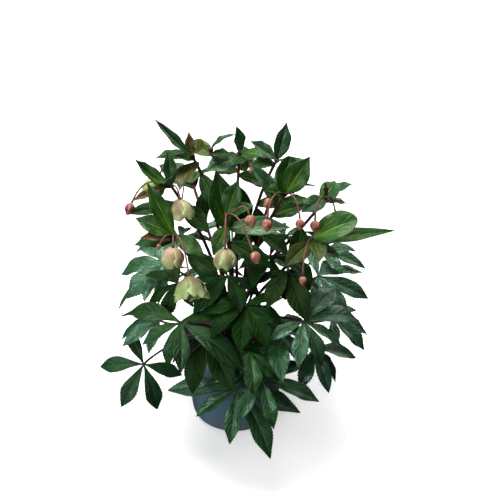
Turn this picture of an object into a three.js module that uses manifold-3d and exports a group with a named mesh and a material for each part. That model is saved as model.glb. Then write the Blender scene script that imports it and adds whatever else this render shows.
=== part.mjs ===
// A hellebore in its nursery pot, in millimetres, +Z up, with the origin under the middle of the pot.
//
// The plant grows from a crown of stalks that stand in plain holes in the compost. Each palmate leaf is one
// solid, a stalk with its leaflets, and so is each flower stem with its bracts and flower stalks. Blooms
// and buds are solids of their own, seated on their stalks. Growth follows one rule: stalks first, then each
// blade takes the first of a list of small turns that leaves it clear of everything that has grown already.
import * as THREE from "three";
import { mergeVertices } from "three/addons/utils/BufferGeometryUtils.js";
import Module from "manifold-3d";

const wasm = await Module();
wasm.setup();
const { Manifold, Mesh: SolidMesh } = wasm;

// ---------------------------------------------------------------- driving dimensions
const POT_HEIGHT = 140;
const POT_BASE_R = 66;
const POT_TOP_R = 82;
const POT_WALL = 2;
const POT_EDGE_R = 10; // round where the wall meets the base
const RIM_OUT = 4.5; // how far the rolled rim stands out
const RIM_DEEP = 9;
const POT_FLOOR = 3.5; // the base is flat underneath and thicker than the wall
const DRAIN_R = 4.5;
const DRAIN_RING_R = 30;
const DRAINS = 5;

const SOIL_TOP = 127; // at the wall
const SOIL_MOUND = 5; // the crown stands this much higher
const HOLE_DEEP = 9;
const HOLE_SPARE = 1.1; // radial room for a stalk in its hole
const HOLE_UNDER = 1.2; // room under a stalk
const GAP = 0.3; // between pieces that touch
const CLEARANCE = 0.5; // between blades of different leaves
const FLOOR_CLEAR = 4; // lowest that a drooping tip may hang
const SHARED = 8; // volume that two blades of one leaf may share at their joint

const SHADE = new THREE.Vector3(0, 60, 0); // bracts turn their faces away from the line above this point
const LIGHT_LEAN = 0.55; // by this much, against 1 for straight up

const CROWN_SPACING = 5.1; // scale of the golden-angle spiral of stalk seats
const CROWN_R = 38;
const GOLDEN_ANGLE = 137.508;

const PETIOLE_R = 1.9;
const STEM_R = 2.4;
const KNOB_R = 4.4; // the joint at a flower stem's top, where bracts and flower stalks spring
const PEDICEL_R = 1.15;
const SEPALS = 5;
const BLOOM_R = 15; // widest radius of a nodding bloom
const BLOOM_LONG = 27;
const BLOOM_NECK = 3.4; // where neighbouring sepals part
const SEPAL_THICK = 1.2;
const STAMENS_LONG = 17;
const BUD_R = 6;
const BUD_LONG = 15;

// ---------------------------------------------------------------- blade forms
// rise and fall shape the outline, fold lifts the sides, edge lists [share of length, width factor], and a
// pair of points close together is a tooth. OBOVATE leaflets are widest near their tips, and BROAD bracts
// have blunt ones.
const LEAFLET = {
  rise: 1.45,
  fall: 0.95,
  fold: 13,
  midrib: [0.3, 0.66],
  edge: [[0.15, 1], [0.43, 1.06], [0.46, 0.92], [0.69, 1.1], [0.72, 0.9], [0.88, 1]],
};
const OBOVATE = { ...LEAFLET, rise: 1.7, fall: 0.95, fold: 8 };
const BRACT = {
  rise: 0.9,
  fall: 0.95,
  fold: 16,
  midrib: [0.3, 0.68],
  edge: [[0.12, 1], [0.34, 1], [0.58, 1], [0.84, 1]],
};
const BROAD = { ...BRACT, rise: 0.8, fall: 0.62 };
const HALF_THICK_ROOT = 1;
const HALF_THICK_TIP = 0.6;
const ROOT_HALF_WIDTH = 1;
const WAVE = 1.2; // height of the ripple along a blade's edge
const WAVES = 2.5; // ripples from root to tip

const OUTER_LENGTH = 0.74; // outermost leaflet against the middle one
const LEAFLET_SLENDER = 0.31; // width over length
const LEAFLET_RISE = 14; // leaflets first rise from the hub, then arch down
const LEAFLET_BEND = 46;
const LEAFLET_ROLL = 20; // each side's leaflets overlap as tiles do
const HUB_HALF_HIGH = 1.6; // the joint at a leaf stalk's end, which its leaflets share
const HUB_R = 2.8;
const HUB_END = 26; // degrees from an outermost leaflet to the side of its joint
const SUNK = 3.2; // how far a bract's root is sunk in the joint it grows from
const RAMIFY_EL = 34; // flower stalks leave the stem's top at this elevation

// The turns that a blade tries in order until it is clear: length factor, yaw and pitch in degrees.
const TURNS = [1, 0.86, 0.7].flatMap((length) =>
  [0, 8, -8, 16, -16].flatMap((yaw) =>
    [0, 9, -9, 18, -18, 28, -28].map((pitch) => ({ length, yaw, pitch })),
  ),
);
// The lines that a stalk tries in order until it is clear: its sideways bow in mm, and how upright it is at
// first.
const LINES = [0, 5, -5, 11, -11, 18, -18, 26, -26].flatMap((bow) =>
  [0.42, 0.3, 0.55].map((rise) => ({ bow, rise })),
);

// ---------------------------------------------------------------- how each leaf and stem grows
// Palmate leaves: azimuth, reach and height of the hub where the leaflets meet, then the heading of the
// middle of the blade (azimuth, elevation), its roll, the longest leaflet's length, either the number of
// leaflets and the angle of the outermost ones or a list of leaflets [angle from the middle, share of the
// length], and a form where it isn't LEAFLET. Azimuths run from +X, and -90 is the front.
const LEAVES = [
  [
    -119, 138, 251, -102, -38, -1, 84,
    [[-116, 0.7], [-70, 1.25], [-16, 0.8], [20, 0.8], [62, 0.7], [106, 1]],
  ],
  [-154, 116, 203, 178, -20, -8, 80, [[-74, 0.7], [-30, 0.8], [2, 1], [34, 1.05], [78, 0.7]]],
  [-152, 147, 138, -138, -45, -34, 74, [[-111, 0.78], [-54, 1], [-5, 1], [64, 0.98], [124, 0.78]], OBOVATE],
  [-87, 126, 141, -92, -40, -2, 100, [[-76, 0.95], [-34, 1.05], [4, 0.8], [60, 0.7], [94, 1]]],
  [-74, 146, 172, -74, -42, 7, 86, [[-105, 0.8], [-63, 1], [0, 0.84], [50, 0.8], [102, 1]]],
  [
    -49, 145, 244, -45, -37, 10, 90,
    [[-106, 0.9], [-74, 1.08], [-32, 0.78], [4, 0.74], [50, 0.7], [104, 0.66]],
  ],
  [-37, 141, 180, -49, -45, -3, 78, [[-60, 1], [-22, 0.8], [14, 0.85], [54, 0.8]]],
  [-12, 146, 192, 10, -22, 15, 72, [5, 90]],
  [0, 123, 245, 6, -14, 20, 82, [6, 100]],
  [17, 137, 262, 30, -8, 10, 74, [5, 90]],
  [-168, 96, 279, 165, -16, -20, 84, [5, 90]],
  [-141, 96, 273, -164, -26, -16, 62, [5, 100]],
  [-80, 106, 266, -95, -28, -2, 68, [7, 120]],
  [-96, 62, 285, -130, -14, -17, 74, [5, 110]],
  [-38, 96, 292, -50, -22, 5, 78, [6, 112]],
  [-106, 122, 222, -59, -28, 22, 84, [5, 100]],
  [-38, 65, 304, -54, -14, 9, 68, [6, 112]],
  [-80, 138, 214, -84, -44, -2, 60, [5, 100]],
  [38, 142, 176, 38, -30, 0, 82, [5, 108]],
  [72, 146, 190, 72, -34, 0, 86, [5, 112]],
  [108, 142, 168, 108, -30, 0, 82, [5, 108]],
  [146, 146, 188, 146, -32, 0, 86, [5, 112]],
  [-57, 108, 219, -62, -34, 4, 84, [6, 108]],
  [50, 122, 256, 50, -16, 0, 84, [5, 114]],
  [92, 124, 262, 92, -18, 0, 84, [5, 112]],
  [134, 120, 258, 134, -14, 0, 84, [5, 110]],
];

// Flower stems: the top (x, y, z), then the bracts, each [share of the stem's height, azimuth, elevation,
// length, width, bend, roll] and a form where it isn't BRACT, and the flower stalks, each [kind, x, y, z of
// the seat, azimuth and elevation that the flower faces, size].
const STEMS = [
  {
    top: [-53, 10, 430],
    bracts: [
      [1, -167, 47, 78, 20, -12, 0],
      [1, 122, 72, 33, 12, 8, 0],
      [1, -72, 49, 50, 27, 30, 0],
      [0.98, -149, 28, 60, 28, 25, 0],
      [0.97, -109, -1, 65, 30, 20, 0],
      [0.82, -120, -42, 61, 21, 18, 0],
      [0.9, -62, -34, 57, 20, 20, 0],
    ],
    flowers: [["bloom", -98, -12, 411, -150, -62, 0.95]],
  },
  {
    top: [-79, -38, 411],
    bracts: [
      [1, 107, 83, 46, 16, 8, 50],
      [0.99, -160, 29, 74, 25, -40, 0],
      [1, -149, 6, 58, 12, 15, 0],
      [0.86, -164, 4, 82, 19, 12, 0],
      [1, -112, 51, 49, 18, 50, 0],
      [0.86, -50, -18, 54, 20, 20, 0],
    ],
    flowers: [
      ["bloom", -66, -62, 404, -70, -70, 1.02],
      ["bud", -130, -52, 393, -135, -58, 1.05],
    ],
  },
  {
    top: [-74, -85, 363],
    bracts: [
      [1, 161, 65, 76, 29, 14, 0],
      [1, 174, 30, 54, 25, 20, 0],
      [0.98, -150, 30, 49, 16, 20, 0],
      [0.97, -170, 4, 56, 27, 25, 0],
      [1, -36, -10, 50, 20, 30, 0],
      [0.8, -38, -11, 54, 22, 20, 0],
    ],
    flowers: [
      ["bloom", -73, -113, 363, -105, -78, 0.96],
      ["bloom", -52, -142, 338, -78, -52, 1.28],
      ["bud", -90, -104, 362, -150, -60, 0.5],
    ],
  },
  {
    top: [-6, -72, 386],
    bracts: [
      [0.86, 160, 80, 86, 34, 8, 0],
      [0.87, -17, 16, 86, 25, 18, 0],
      [1, 32, 70, 48, 22, 10, 0],
      [0.9, -121, -30, 46, 20, 20, 0],
      [1, -23, 34, 42, 18, 15, 0],
      [0.74, -28, -13, 72, 21, 20, 0],
    ],
    flowers: [
      ["bloom", -7, -117, 363, -90, -80, 0.95],
      ["bud", 23, -92, 398, -60, -62, 1.1],
      ["bud", 28, -122, 362, -50, -55, 1.05],
    ],
  },
  {
    top: [60, 10, 425],
    bracts: [
      [1, 35, 72, 52, 21, 6, 0],
      [1, -171, 44, 46, 21, 10, 0],
      [0.98, -140, 26, 44, 16, 40, 0],
      [1, -50, 20, 54, 22, 20, 0],
      [0.72, -69, -39, 59, 25, 20, 0],
      [0.62, -126, -31, 51, 22, 20, 0],
    ],
    flowers: [["bud", 30, 4, 418, 180, -55, 0.7]],
  },
  {
    top: [-30, 42, 426],
    bracts: [
      [1, -25, 58, 44, 11, 50, 0],
      [0.98, -47, 25, 38, 12, 20, 0],
      [0.97, 150, 20, 48, 22, 20, 0],
    ],
    flowers: [],
  },
  {
    top: [70, -40, 400],
    bracts: [
      [0.99, 75, 72, 54, 31, 10, 0, BROAD],
      [1, 10, 58, 60, 30, 12, 0],
      [0.9, -177, 72, 74, 24, 34, 0],
      [0.96, -41, 16, 50, 20, 10, 0],
      [0.98, -130, 42, 40, 20, 20, 0],
      [0.7, -36, -15, 50, 22, 20, 0],
    ],
    flowers: [
      ["bud", 46, -92, 392, -100, -66, 1.05],
      ["bud", 52, -58, 402, -150, -40, 0.9],
      ["bud", 88, -74, 382, -80, -70, 0.95],
    ],
  },
  {
    top: [126, -10, 378],
    bracts: [
      [1, -20, 41, 44, 24, 8, 0],
      [1, -128, 6, 52, 22, 15, 0],
      [0.98, -2, 4, 36, 12, 25, 0],
      [1, 94, 75, 20, 9, 5, 0],
      [0.96, 60, 20, 56, 24, 20, 0],
      [0.78, -100, -42, 56, 25, 22, 0],
    ],
    flowers: [
      ["bud", 141, -14, 358, -30, -68, 0.95],
      ["bud", 109, -62, 373, -90, -76, 1.05],
    ],
  },
  {
    top: [106, -58, 341],
    bracts: [
      [1, 0, 34, 66, 37, 20, 0, BROAD],
      [0.96, 12, 7, 128, 27, 14, 0],
      [0.95, -30, 8, 50, 20, 15, 0],
      [1, -80, 10, 54, 25, 24, 0],
      [0.96, -128, -6, 50, 23, 30, 0],
      [0.8, -55, -31, 50, 23, 24, 0],
    ],
    flowers: [["bud", 92, -114, 320, -90, -70, 0.8]],
  },
  {
    top: [10, 50, 418],
    bracts: [
      [1, 153, 84, 38, 19, 4, 0],
      [0.98, -140, 14, 62, 27, 20, 0],
      [0.98, -100, 14, 56, 23, 25, 0],
      [1, -40, 16, 56, 26, 20, 0],
      [0.97, 60, -6, 60, 26, 24, 0],
      [0.82, -60, -39, 65, 24, 20, 0],
    ],
    flowers: [["bloom", 14, 96, 398, 80, -66, 1]],
  },
  {
    top: [60, 80, 352],
    bracts: [
      [1, 50, 14, 72, 30, 20, 0],
      [1, 130, 12, 66, 27, 25, 0],
      [0.97, 0, 20, 66, 27, 28, 0],
      [0.96, 85, 4, 62, 26, 24, 0],
    ],
    flowers: [
      ["bloom", 82, 114, 360, 60, -68, 1],
      ["bud", 92, 98, 322, 40, -60, 0.95],
    ],
  },
  {
    top: [-60, 80, 356],
    bracts: [
      [1, 140, 14, 72, 30, 20, 0],
      [1, 60, 12, 64, 27, 20, 0],
      [0.97, 180, 20, 68, 27, 28, 0],
      [0.96, 105, 2, 64, 26, 24, 0],
    ],
    flowers: [["bloom", -82, 126, 300, 120, -66, 1.05]],
  },
];

// ---------------------------------------------------------------- small helpers
const DEG = Math.PI / 180;
const UP = new THREE.Vector3(0, 0, 1);

function heading(azimuth, elevation) {
  const a = azimuth * DEG;
  const e = elevation * DEG;
  return new THREE.Vector3(Math.cos(a) * Math.cos(e), Math.sin(a) * Math.cos(e), Math.sin(e));
}

function upright(direction) {
  return UP.clone().addScaledVector(direction, -direction.dot(UP)).normalize();
}

// A repeatable stream of numbers from 0 to 1.
function seeded(seed) {
  let state = seed;
  return () => (state = (state * 1664525 + 1013904223) % 4294967296) / 4294967296;
}

function solidOf(geometry) {
  geometry.deleteAttribute("normal");
  geometry.deleteAttribute("uv");
  const merged = mergeVertices(geometry, 1e-4);
  return new Manifold(
    new SolidMesh({
      numProp: 3,
      vertProperties: new Float32Array(merged.attributes.position.array),
      triVerts: new Uint32Array(merged.index.array),
    }),
  );
}

function geometryOf(solid) {
  const mesh = solid.getMesh();
  const geometry = new THREE.BufferGeometry();
  geometry.setAttribute("position", new THREE.BufferAttribute(mesh.vertProperties, 3));
  geometry.setIndex(new THREE.BufferAttribute(mesh.triVerts, 1));
  geometry.computeVertexNormals();
  return geometry;
}

// Joins the pieces of one node.
function fuse(name, solids) {
  const bodies = Manifold.union(solids)
    .decompose()
    .filter((body) => body.volume() > 0.01);
  if (bodies.length > 1) throw new Error(name + ": a piece doesn't reach the rest");
  return bodies[0];
}

// A tube of the given radius along a curve.
function tube(curve, radius, sides, steps) {
  const section = new THREE.Shape();
  for (let i = 0; i < sides; i++) {
    const a = (2 * Math.PI * i) / sides;
    section[i ? "lineTo" : "moveTo"](radius * Math.cos(a), radius * Math.sin(a));
  }
  return solidOf(new THREE.ExtrudeGeometry(section, { steps, bevelEnabled: false, extrudePath: curve }));
}

// ---------------------------------------------------------------- blades
// The place on a blade's midrib at share t of its length, with the directions across and out of its face.
function bladeFrame(blade, t) {
  const bend = (Math.abs(blade.bend) < 0.1 ? 0.1 : blade.bend) * DEG;
  const a = bend * t;
  const across = blade.out.clone().cross(blade.up);
  const centre = blade.root
    .clone()
    .addScaledVector(blade.out, (blade.length * Math.sin(a)) / bend)
    .addScaledVector(blade.up, (-blade.length * (1 - Math.cos(a))) / bend);
  const face = blade.up.clone().multiplyScalar(Math.cos(a)).addScaledVector(blade.out, Math.sin(a));
  const turn = blade.twist * DEG * t;
  const side = across.clone().multiplyScalar(Math.cos(turn)).addScaledVector(face, Math.sin(turn));
  const normal = face.clone().multiplyScalar(Math.cos(turn)).addScaledVector(across, -Math.sin(turn));
  return { centre, side, normal };
}

function halfWidth(blade, t) {
  const widest = blade.form.rise / (blade.form.rise + blade.form.fall);
  const swell = (t / widest) ** blade.form.rise * ((1 - t) / (1 - widest)) ** blade.form.fall;
  return ROOT_HALF_WIDTH * (1 - t) + (blade.width / 2) * swell;
}

function edgePoint(blade, t, factor, sign) {
  const { centre, side, normal } = bladeFrame(blade, t);
  const half = halfWidth(blade, t) * factor;
  const swing = Math.sin(2 * Math.PI * (WAVES * t + blade.phase + 0.25 * sign));
  const ripple = WAVE * Math.sin(Math.PI * t) * swing;
  return centre
    .addScaledVector(side, sign * half * Math.cos(blade.form.fold * DEG))
    .addScaledVector(normal, half * Math.sin(blade.form.fold * DEG) + (t > 0 ? ripple : 0));
}

function ribPoint(blade, t, sign) {
  const { centre, normal } = bladeFrame(blade, t);
  return centre.addScaledVector(normal, sign * (HALF_THICK_ROOT + (HALF_THICK_TIP - HALF_THICK_ROOT) * t));
}

// A closed blade: thin at its sides, thick along the midrib, with one point at its tip. Its root is an
// upright edge, or the four points of `base` where it shares a joint with its neighbours.
function bladeSolid(blade) {
  const points = [];
  const put = (t, point) => ({ t, index: points.push(point) - 1 });
  const base = blade.base ?? { top: ribPoint(blade, 0, 1), under: ribPoint(blade, 0, -1) };
  const ribLine = (start, sign) => [
    put(0, start),
    ...blade.form.midrib.map((t) => put(t, ribPoint(blade, t, sign))),
  ];
  const edgeLine = (start, sign) => [
    ...(start ? [put(0, start)] : []),
    ...blade.form.edge.map(([t, factor]) => put(t, edgePoint(blade, t, factor, sign))),
  ];
  const top = ribLine(base.top, 1);
  const under = ribLine(base.under, -1);
  const right = edgeLine(base.right, 1);
  const left = edgeLine(base.left, -1);
  const tip = put(1, bladeFrame(blade, 1).centre);
  for (const line of [top, under, right, left]) line.push(tip);

  const index = [];
  const face = (a, b, c, flip) => index.push(...(flip ? [a, c, b] : [a, b, c]));
  const strip = (rib, edge, flip) => {
    let i = 0;
    let j = 0;
    while (i < rib.length - 1 || j < edge.length - 1) {
      const alongRib = j === edge.length - 1 || (i < rib.length - 1 && rib[i + 1].t < edge[j + 1].t);
      const next = alongRib ? rib[i + 1] : edge[j + 1];
      if (rib[i].index !== next.index && edge[j].index !== next.index)
        face(rib[i].index, edge[j].index, next.index, flip);
      if (alongRib) i++;
      else j++;
    }
  };
  strip(top, right, false);
  strip(top, left, true);
  strip(under, right, true);
  strip(under, left, false);
  face(top[0].index, left[0].index, under[0].index, false);
  face(top[0].index, under[0].index, right[0].index, false);

  const geometry = new THREE.BufferGeometry().setFromPoints(points);
  geometry.setIndex(index);
  return solidOf(geometry);
}

// The blade after one of the turns in TURNS.
function turned(blade, turn) {
  const across = blade.out.clone().cross(blade.up);
  const out = blade.out.clone().applyAxisAngle(blade.up, turn.yaw * DEG);
  out.applyAxisAngle(across, turn.pitch * DEG);
  const up = blade.up.clone().applyAxisAngle(across, turn.pitch * DEG);
  up.addScaledVector(out, -up.dot(out)).normalize();
  return { ...blade, out, up, length: blade.length * turn.length, width: blade.width * turn.length };
}

// ---------------------------------------------------------------- what has grown so far
const grown = [];

function boxesApart(a, b) {
  return [0, 1, 2].some((k) => a.min[k] > b.max[k] + CLEARANCE || b.min[k] > a.max[k] + CLEARANCE);
}

// What has grown already and stands in the way. Blades of one node may share a little of their joint.
function blockers(solid, owner) {
  const box = solid.boundingBox();
  return grown.filter((other) => {
    if (boxesApart(box, other.box)) return false;
    if (other.owner === owner) return other.blade && solid.intersect(other.solid).volume() > SHARED;
    return solid.minGap(other.solid, 2 * CLEARANCE) < CLEARANCE;
  });
}

function isClear(solid, owner) {
  return solid.boundingBox().min[2] > FLOOR_CLEAR && blockers(solid, owner).length === 0;
}

function keep(solid, owner, blade = false) {
  grown.push({ solid, owner, blade, box: solid.boundingBox() });
  return solid;
}

// The blade in the first turn that is clear of everything else, or nothing.
function growBlade(blade, owner) {
  for (const turn of TURNS) {
    const solid = bladeSolid(turned(blade, turn));
    if (isClear(solid, owner)) return keep(solid, owner, true);
  }
  return null;
}

// ---------------------------------------------------------------- pot and compost
function potInnerR(z) {
  return POT_BASE_R + ((POT_TOP_R - POT_BASE_R) * z) / POT_HEIGHT - POT_WALL;
}

function potSolid() {
  const profile = new THREE.Path();
  profile.moveTo(0, 0);
  profile.lineTo(POT_BASE_R - POT_EDGE_R, 0);
  profile.quadraticCurveTo(POT_BASE_R, 0, POT_BASE_R + 1, POT_EDGE_R);
  profile.lineTo(POT_TOP_R - 1, POT_HEIGHT - RIM_DEEP);
  profile.lineTo(POT_TOP_R + RIM_OUT, POT_HEIGHT - RIM_DEEP + 1);
  profile.lineTo(POT_TOP_R + RIM_OUT, POT_HEIGHT);
  profile.lineTo(POT_TOP_R - POT_WALL, POT_HEIGHT);
  profile.lineTo(potInnerR(POT_EDGE_R), POT_EDGE_R);
  profile.lineTo(POT_BASE_R - POT_EDGE_R, POT_FLOOR);
  profile.lineTo(0, POT_FLOOR);
  const body = solidOf(new THREE.LatheGeometry(profile.getPoints(2), 24).rotateX(Math.PI / 2));
  const drains = Array.from({ length: DRAINS }, (_, i) => {
    const place = heading((360 * i) / DRAINS, 0).multiplyScalar(DRAIN_RING_R);
    const drill = new THREE.CylinderGeometry(DRAIN_R, DRAIN_R, 3 * POT_FLOOR, 6).rotateX(Math.PI / 2);
    return solidOf(drill.translate(place.x, place.y, 0));
  });
  return body.subtract(Manifold.union(drains));
}

// The compost is level round the crown and falls a little to the wall. Each stalk stands in a hole of its
// own, drilled along the stalk's lowest length.
function soilSolid(stalks) {
  const floor = POT_FLOOR + GAP;
  const body = lathe(
    [
      [0, floor],
      [POT_BASE_R - POT_EDGE_R - 1, floor],
      [potInnerR(POT_EDGE_R) - GAP - 0.4, POT_EDGE_R + 1],
      [potInnerR(SOIL_TOP) - GAP - 0.4, SOIL_TOP],
      [0.5 * (CROWN_R + potInnerR(SOIL_TOP)), SOIL_TOP + 0.7 * SOIL_MOUND],
      [CROWN_R, SOIL_TOP + SOIL_MOUND],
      [0, SOIL_TOP + SOIL_MOUND],
    ],
    24,
  );
  const holes = stalks.map(({ foot, lead, radius }) => {
    const drill = new THREE.CylinderGeometry(radius + HOLE_SPARE, radius + HOLE_SPARE, 3 * HOLE_DEEP, 5);
    drill.rotateX(Math.PI / 2).translate(0, 0, 1.5 * HOLE_DEEP - HOLE_UNDER);
    return placed(solidOf(drill), foot, lead, 1);
  });
  return body.subtract(Manifold.union(holes));
}

// ---------------------------------------------------------------- stalks
// The seats of the stalks in the crown lie on a golden-angle spiral, flower stems inside and leaves outside.
// Stalks and seats are both put in order of azimuth, and paired at the rotation that turns them least.
function pairSeats(azimuths, first) {
  const count = azimuths.length;
  const wrap = (angle) => ((angle % 360) + 540) % 360 - 180;
  const places = Array.from({ length: count }, (_, i) => ({
    azimuth: wrap((first + i) * GOLDEN_ANGLE),
    reach: CROWN_SPACING * Math.sqrt(first + i + 0.5),
  })).sort((a, b) => a.azimuth - b.azimuth);
  const order = azimuths.map((azimuth, i) => ({ azimuth: wrap(azimuth), i }));
  order.sort((a, b) => a.azimuth - b.azimuth);
  const turnedBy = (shift) =>
    order.reduce((sum, { azimuth }, k) => sum + wrap(places[(k + shift) % count].azimuth - azimuth) ** 2, 0);
  const shifts = order.map((_, shift) => shift);
  const best = shifts.reduce((a, b) => (turnedBy(b) < turnedBy(a) ? b : a));
  const seats = [];
  order.forEach(({ i }, k) => {
    const { azimuth, reach } = places[(k + best) % count];
    const place = heading(azimuth, 0).multiplyScalar(reach);
    seats[i] = place;
  });
  return seats;
}

// A stalk's line: straight up out of its hole, then over to its end, which it reaches along `arrive`.
function stalkCurve(seat, end, arrive, { bow, rise }) {
  const start = new THREE.Vector3(seat.x, seat.y, SOIL_TOP + SOIL_MOUND - HOLE_DEEP);
  const span = end.distanceTo(start);
  const sideways = new THREE.Vector3(-end.y, end.x, 0).normalize().multiplyScalar(bow);
  const lift = new THREE.Vector3(0, 0, Math.max(rise * span, 44));
  const first = start.clone().add(lift);
  const second = end.clone().addScaledVector(arrive, -0.3 * span).add(sideways);
  return new THREE.CubicBezierCurve3(start, first, second, end);
}

// A stalk on the first line that is clear of what has grown, with the heading of its lowest length.
function growStalk(owner, seat, end, arrive, radius, sides, steps) {
  for (const line of LINES) {
    const curve = stalkCurve(seat, end, arrive, line);
    const solid = tube(curve, radius, sides, steps);
    if (!isClear(solid, owner)) continue;
    const [foot, next] = curve.getSpacedPoints(steps);
    return { curve, foot, lead: next.sub(foot).normalize(), radius, solid: keep(solid, owner) };
  }
  throw new Error(owner + ": its stalk crosses another on every line");
}

// ---------------------------------------------------------------- blooms and buds
// One of five sepals of a nodding cup, along +Z from the seat: u runs across and v from the base to the lip.
function sepalPoint(sepal, u, v, inward) {
  const radius = BLOOM_R * Math.sin(Math.PI * (0.05 + 0.7 * v)) ** 0.62;
  const depth = 1.1 * u * Math.min(1, 3 * v) - inward;
  const spread = 50 * Math.sin(Math.PI * (0.02 + 0.78 * v)) ** 1.2;
  const a = ((360 * sepal) / SEPALS + spread * u) * DEG;
  const z = 1.6 + (BLOOM_LONG - 1.6) * v * (1 - 0.14 * u * u * v);
  return new THREE.Vector3((radius + depth) * Math.cos(a), (radius + depth) * Math.sin(a), z);
}

// A bloom: a cup of sepals with a boss of stamens in it. The sepals spring from one point on the flower's
// axis, and neighbours share one point between them. Rows of points run across each sepal, and its outer
// face and its inner one meet along the border. The boss stands on those shared points and on one point
// inside each sepal.
function bloomSolid() {
  const across = 3;
  const rows = [0.3, 0.66, 1];
  const isBorder = (i, row) => i === 0 || i === across || row === rows.length - 1;
  const points = [];
  const add = (point) => points.push(point) - 1;
  const ringPoint = (turns, radius, z) => heading((360 * turns) / SEPALS, 0).multiplyScalar(radius).setZ(z);
  const seat = add(new THREE.Vector3(0, 0, 0));
  const apex = add(new THREE.Vector3(0, 0, STAMENS_LONG));
  const necks = Array.from({ length: SEPALS }, (_, sepal) => add(ringPoint(sepal + 0.5, BLOOM_NECK, 3.6)));

  const index = [];
  for (let sepal = 0; sepal < SEPALS; sepal++) {
    const put = (i, row, inward) => add(sepalPoint(sepal, (2 * i) / across - 1, rows[row], inward));
    const outside = rows.map((_, row) =>
      Array.from({ length: across + 1 }, (_, i) => put(i, row, isBorder(i, row) ? 0.4 : 0)),
    );
    const inside = outside.map((line, row) =>
      line.map((at, i) => (isBorder(i, row) ? at : put(i, row, SEPAL_THICK))),
    );
    const foot = add(ringPoint(sepal, BLOOM_NECK, 5.2));
    const [left, right] = [necks[(sepal + SEPALS - 1) % SEPALS], necks[sepal]];
    const layer = (root, grid, flip) => {
      const face = (a, b, c) => index.push(...(flip ? [a, c, b] : [a, b, c]));
      const line = [left, ...grid[0], right];
      for (let i = 0; i < line.length - 1; i++) face(root, line[i + 1], line[i]);
      for (let row = 0; row < rows.length - 1; row++)
        for (let i = 0; i < across; i++) {
          const corners = [grid[row][i], grid[row][i + 1], grid[row + 1][i + 1], grid[row + 1][i]];
          // The diagonals lean so that no triangle has all its corners on the border.
          const [a, b, c, d] = i === 0 ? [...corners.slice(1), corners[0]] : corners;
          face(a, b, c);
          face(a, c, d);
        }
    };
    layer(seat, outside, false);
    layer(foot, inside, true);
    index.push(apex, left, foot, apex, foot, right);
  }
  const geometry = new THREE.BufferGeometry().setFromPoints(points);
  geometry.setIndex(index);
  return solidOf(geometry);
}

function lathe(points, sides) {
  const profile = points.map(([r, z]) => new THREE.Vector2(r, z));
  return solidOf(new THREE.LatheGeometry(profile, sides).rotateX(Math.PI / 2));
}

// A closed bud, its sepals showing as five soft ridges.
function budSolid() {
  const profile = [
    [0, 0],
    [0.66 * BUD_R, 0.12 * BUD_LONG],
    [BUD_R, 0.45 * BUD_LONG],
    [0.68 * BUD_R, 0.82 * BUD_LONG],
    [0, BUD_LONG],
  ];
  const geometry = new THREE.LatheGeometry(profile.map(([r, z]) => new THREE.Vector2(r, z)), 10);
  geometry.rotateX(Math.PI / 2);
  const position = geometry.attributes.position;
  for (let i = 0; i < position.count; i++) {
    const [x, y] = [position.getX(i), position.getY(i)];
    const ridge = 1 + 0.07 * Math.cos(5 * Math.atan2(y, x));
    position.setXY(i, x * ridge, y * ridge);
  }
  return solidOf(geometry);
}

// Turns a solid made along +Z so that it points along `direction` from `seat`.
function placed(solid, seat, direction, size) {
  const turn = new THREE.Quaternion().setFromUnitVectors(UP, direction);
  const matrix = new THREE.Matrix4().compose(seat, turn, new THREE.Vector3(size, size, size));
  return solid.transform(matrix.toArray());
}

// The stalk of a flower rises from the stem's top, arches over and comes down on the flower's seat.
function pedicelCurve(joint, seat, direction) {
  const toward = seat.clone().sub(joint);
  const rise = heading(Math.atan2(toward.y, toward.x) / DEG, RAMIFY_EL);
  const span = Math.max(14, toward.length());
  const first = joint.clone().addScaledVector(rise, 0.5 * span);
  const second = seat.clone().addScaledVector(direction, -0.55 * span);
  return new THREE.CubicBezierCurve3(joint.clone().addScaledVector(rise, KNOB_R / 2), first, second, seat);
}

// The joint at a stem's top, with five facets above and five below.
function knobSolid(joint, direction) {
  return placed(lathe([[0, -KNOB_R], [KNOB_R, 0], [0, KNOB_R]], 5), joint, direction, 1);
}

// The joint at a leaf stalk's end: leaflet i of a leaf springs from these four points, and shares them.
function leafJoint(hub, axis, normal, angles) {
  const top = hub.clone().addScaledVector(normal, HUB_HALF_HIGH);
  const under = hub.clone().addScaledVector(normal, -HUB_HALF_HIGH);
  const between = [angles[0] - HUB_END, ...angles.slice(1).map((angle, i) => (angle + angles[i]) / 2)];
  between.push(angles.at(-1) + HUB_END);
  const ring = between.map((angle) => {
    const away = axis.clone().applyAxisAngle(normal, -angle * DEG);
    return hub.clone().addScaledVector(away, HUB_R);
  });
  return (i) => ({ top, under, left: ring[i], right: ring[i + 1] });
}

// The leaflets of a row of LEAVES, each [angle from the middle, share of the length].
function leafletsOf(fan) {
  if (Array.isArray(fan[0])) return fan;
  const [count, outermost] = fan;
  return Array.from({ length: count }, (_, i) => {
    const share = (2 * i) / (count - 1) - 1;
    return [outermost * share, 1 - (1 - OUTER_LENGTH) * share * share];
  });
}

// ---------------------------------------------------------------- growth
const plant = new THREE.Group();
const COLOURS = {
  pot: [0x3c5468, 0.45],
  soil: [0x2b211a, 0.95],
  leaf: [0x1f4427, 0.5],
  flower_stem: [0x35592a, 0.55],
  bloom: [0xb9c288, 0.6],
  bud: [0xc08078, 0.6],
};

function addNode(name, solid) {
  const [color, roughness] = COLOURS[name.replace(/_\d+$/, "")];
  const material = new THREE.MeshStandardMaterial({ color, roughness, metalness: 0 });
  const mesh = new THREE.Mesh(geometryOf(solid), material);
  mesh.name = name;
  plant.add(mesh);
}

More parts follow.
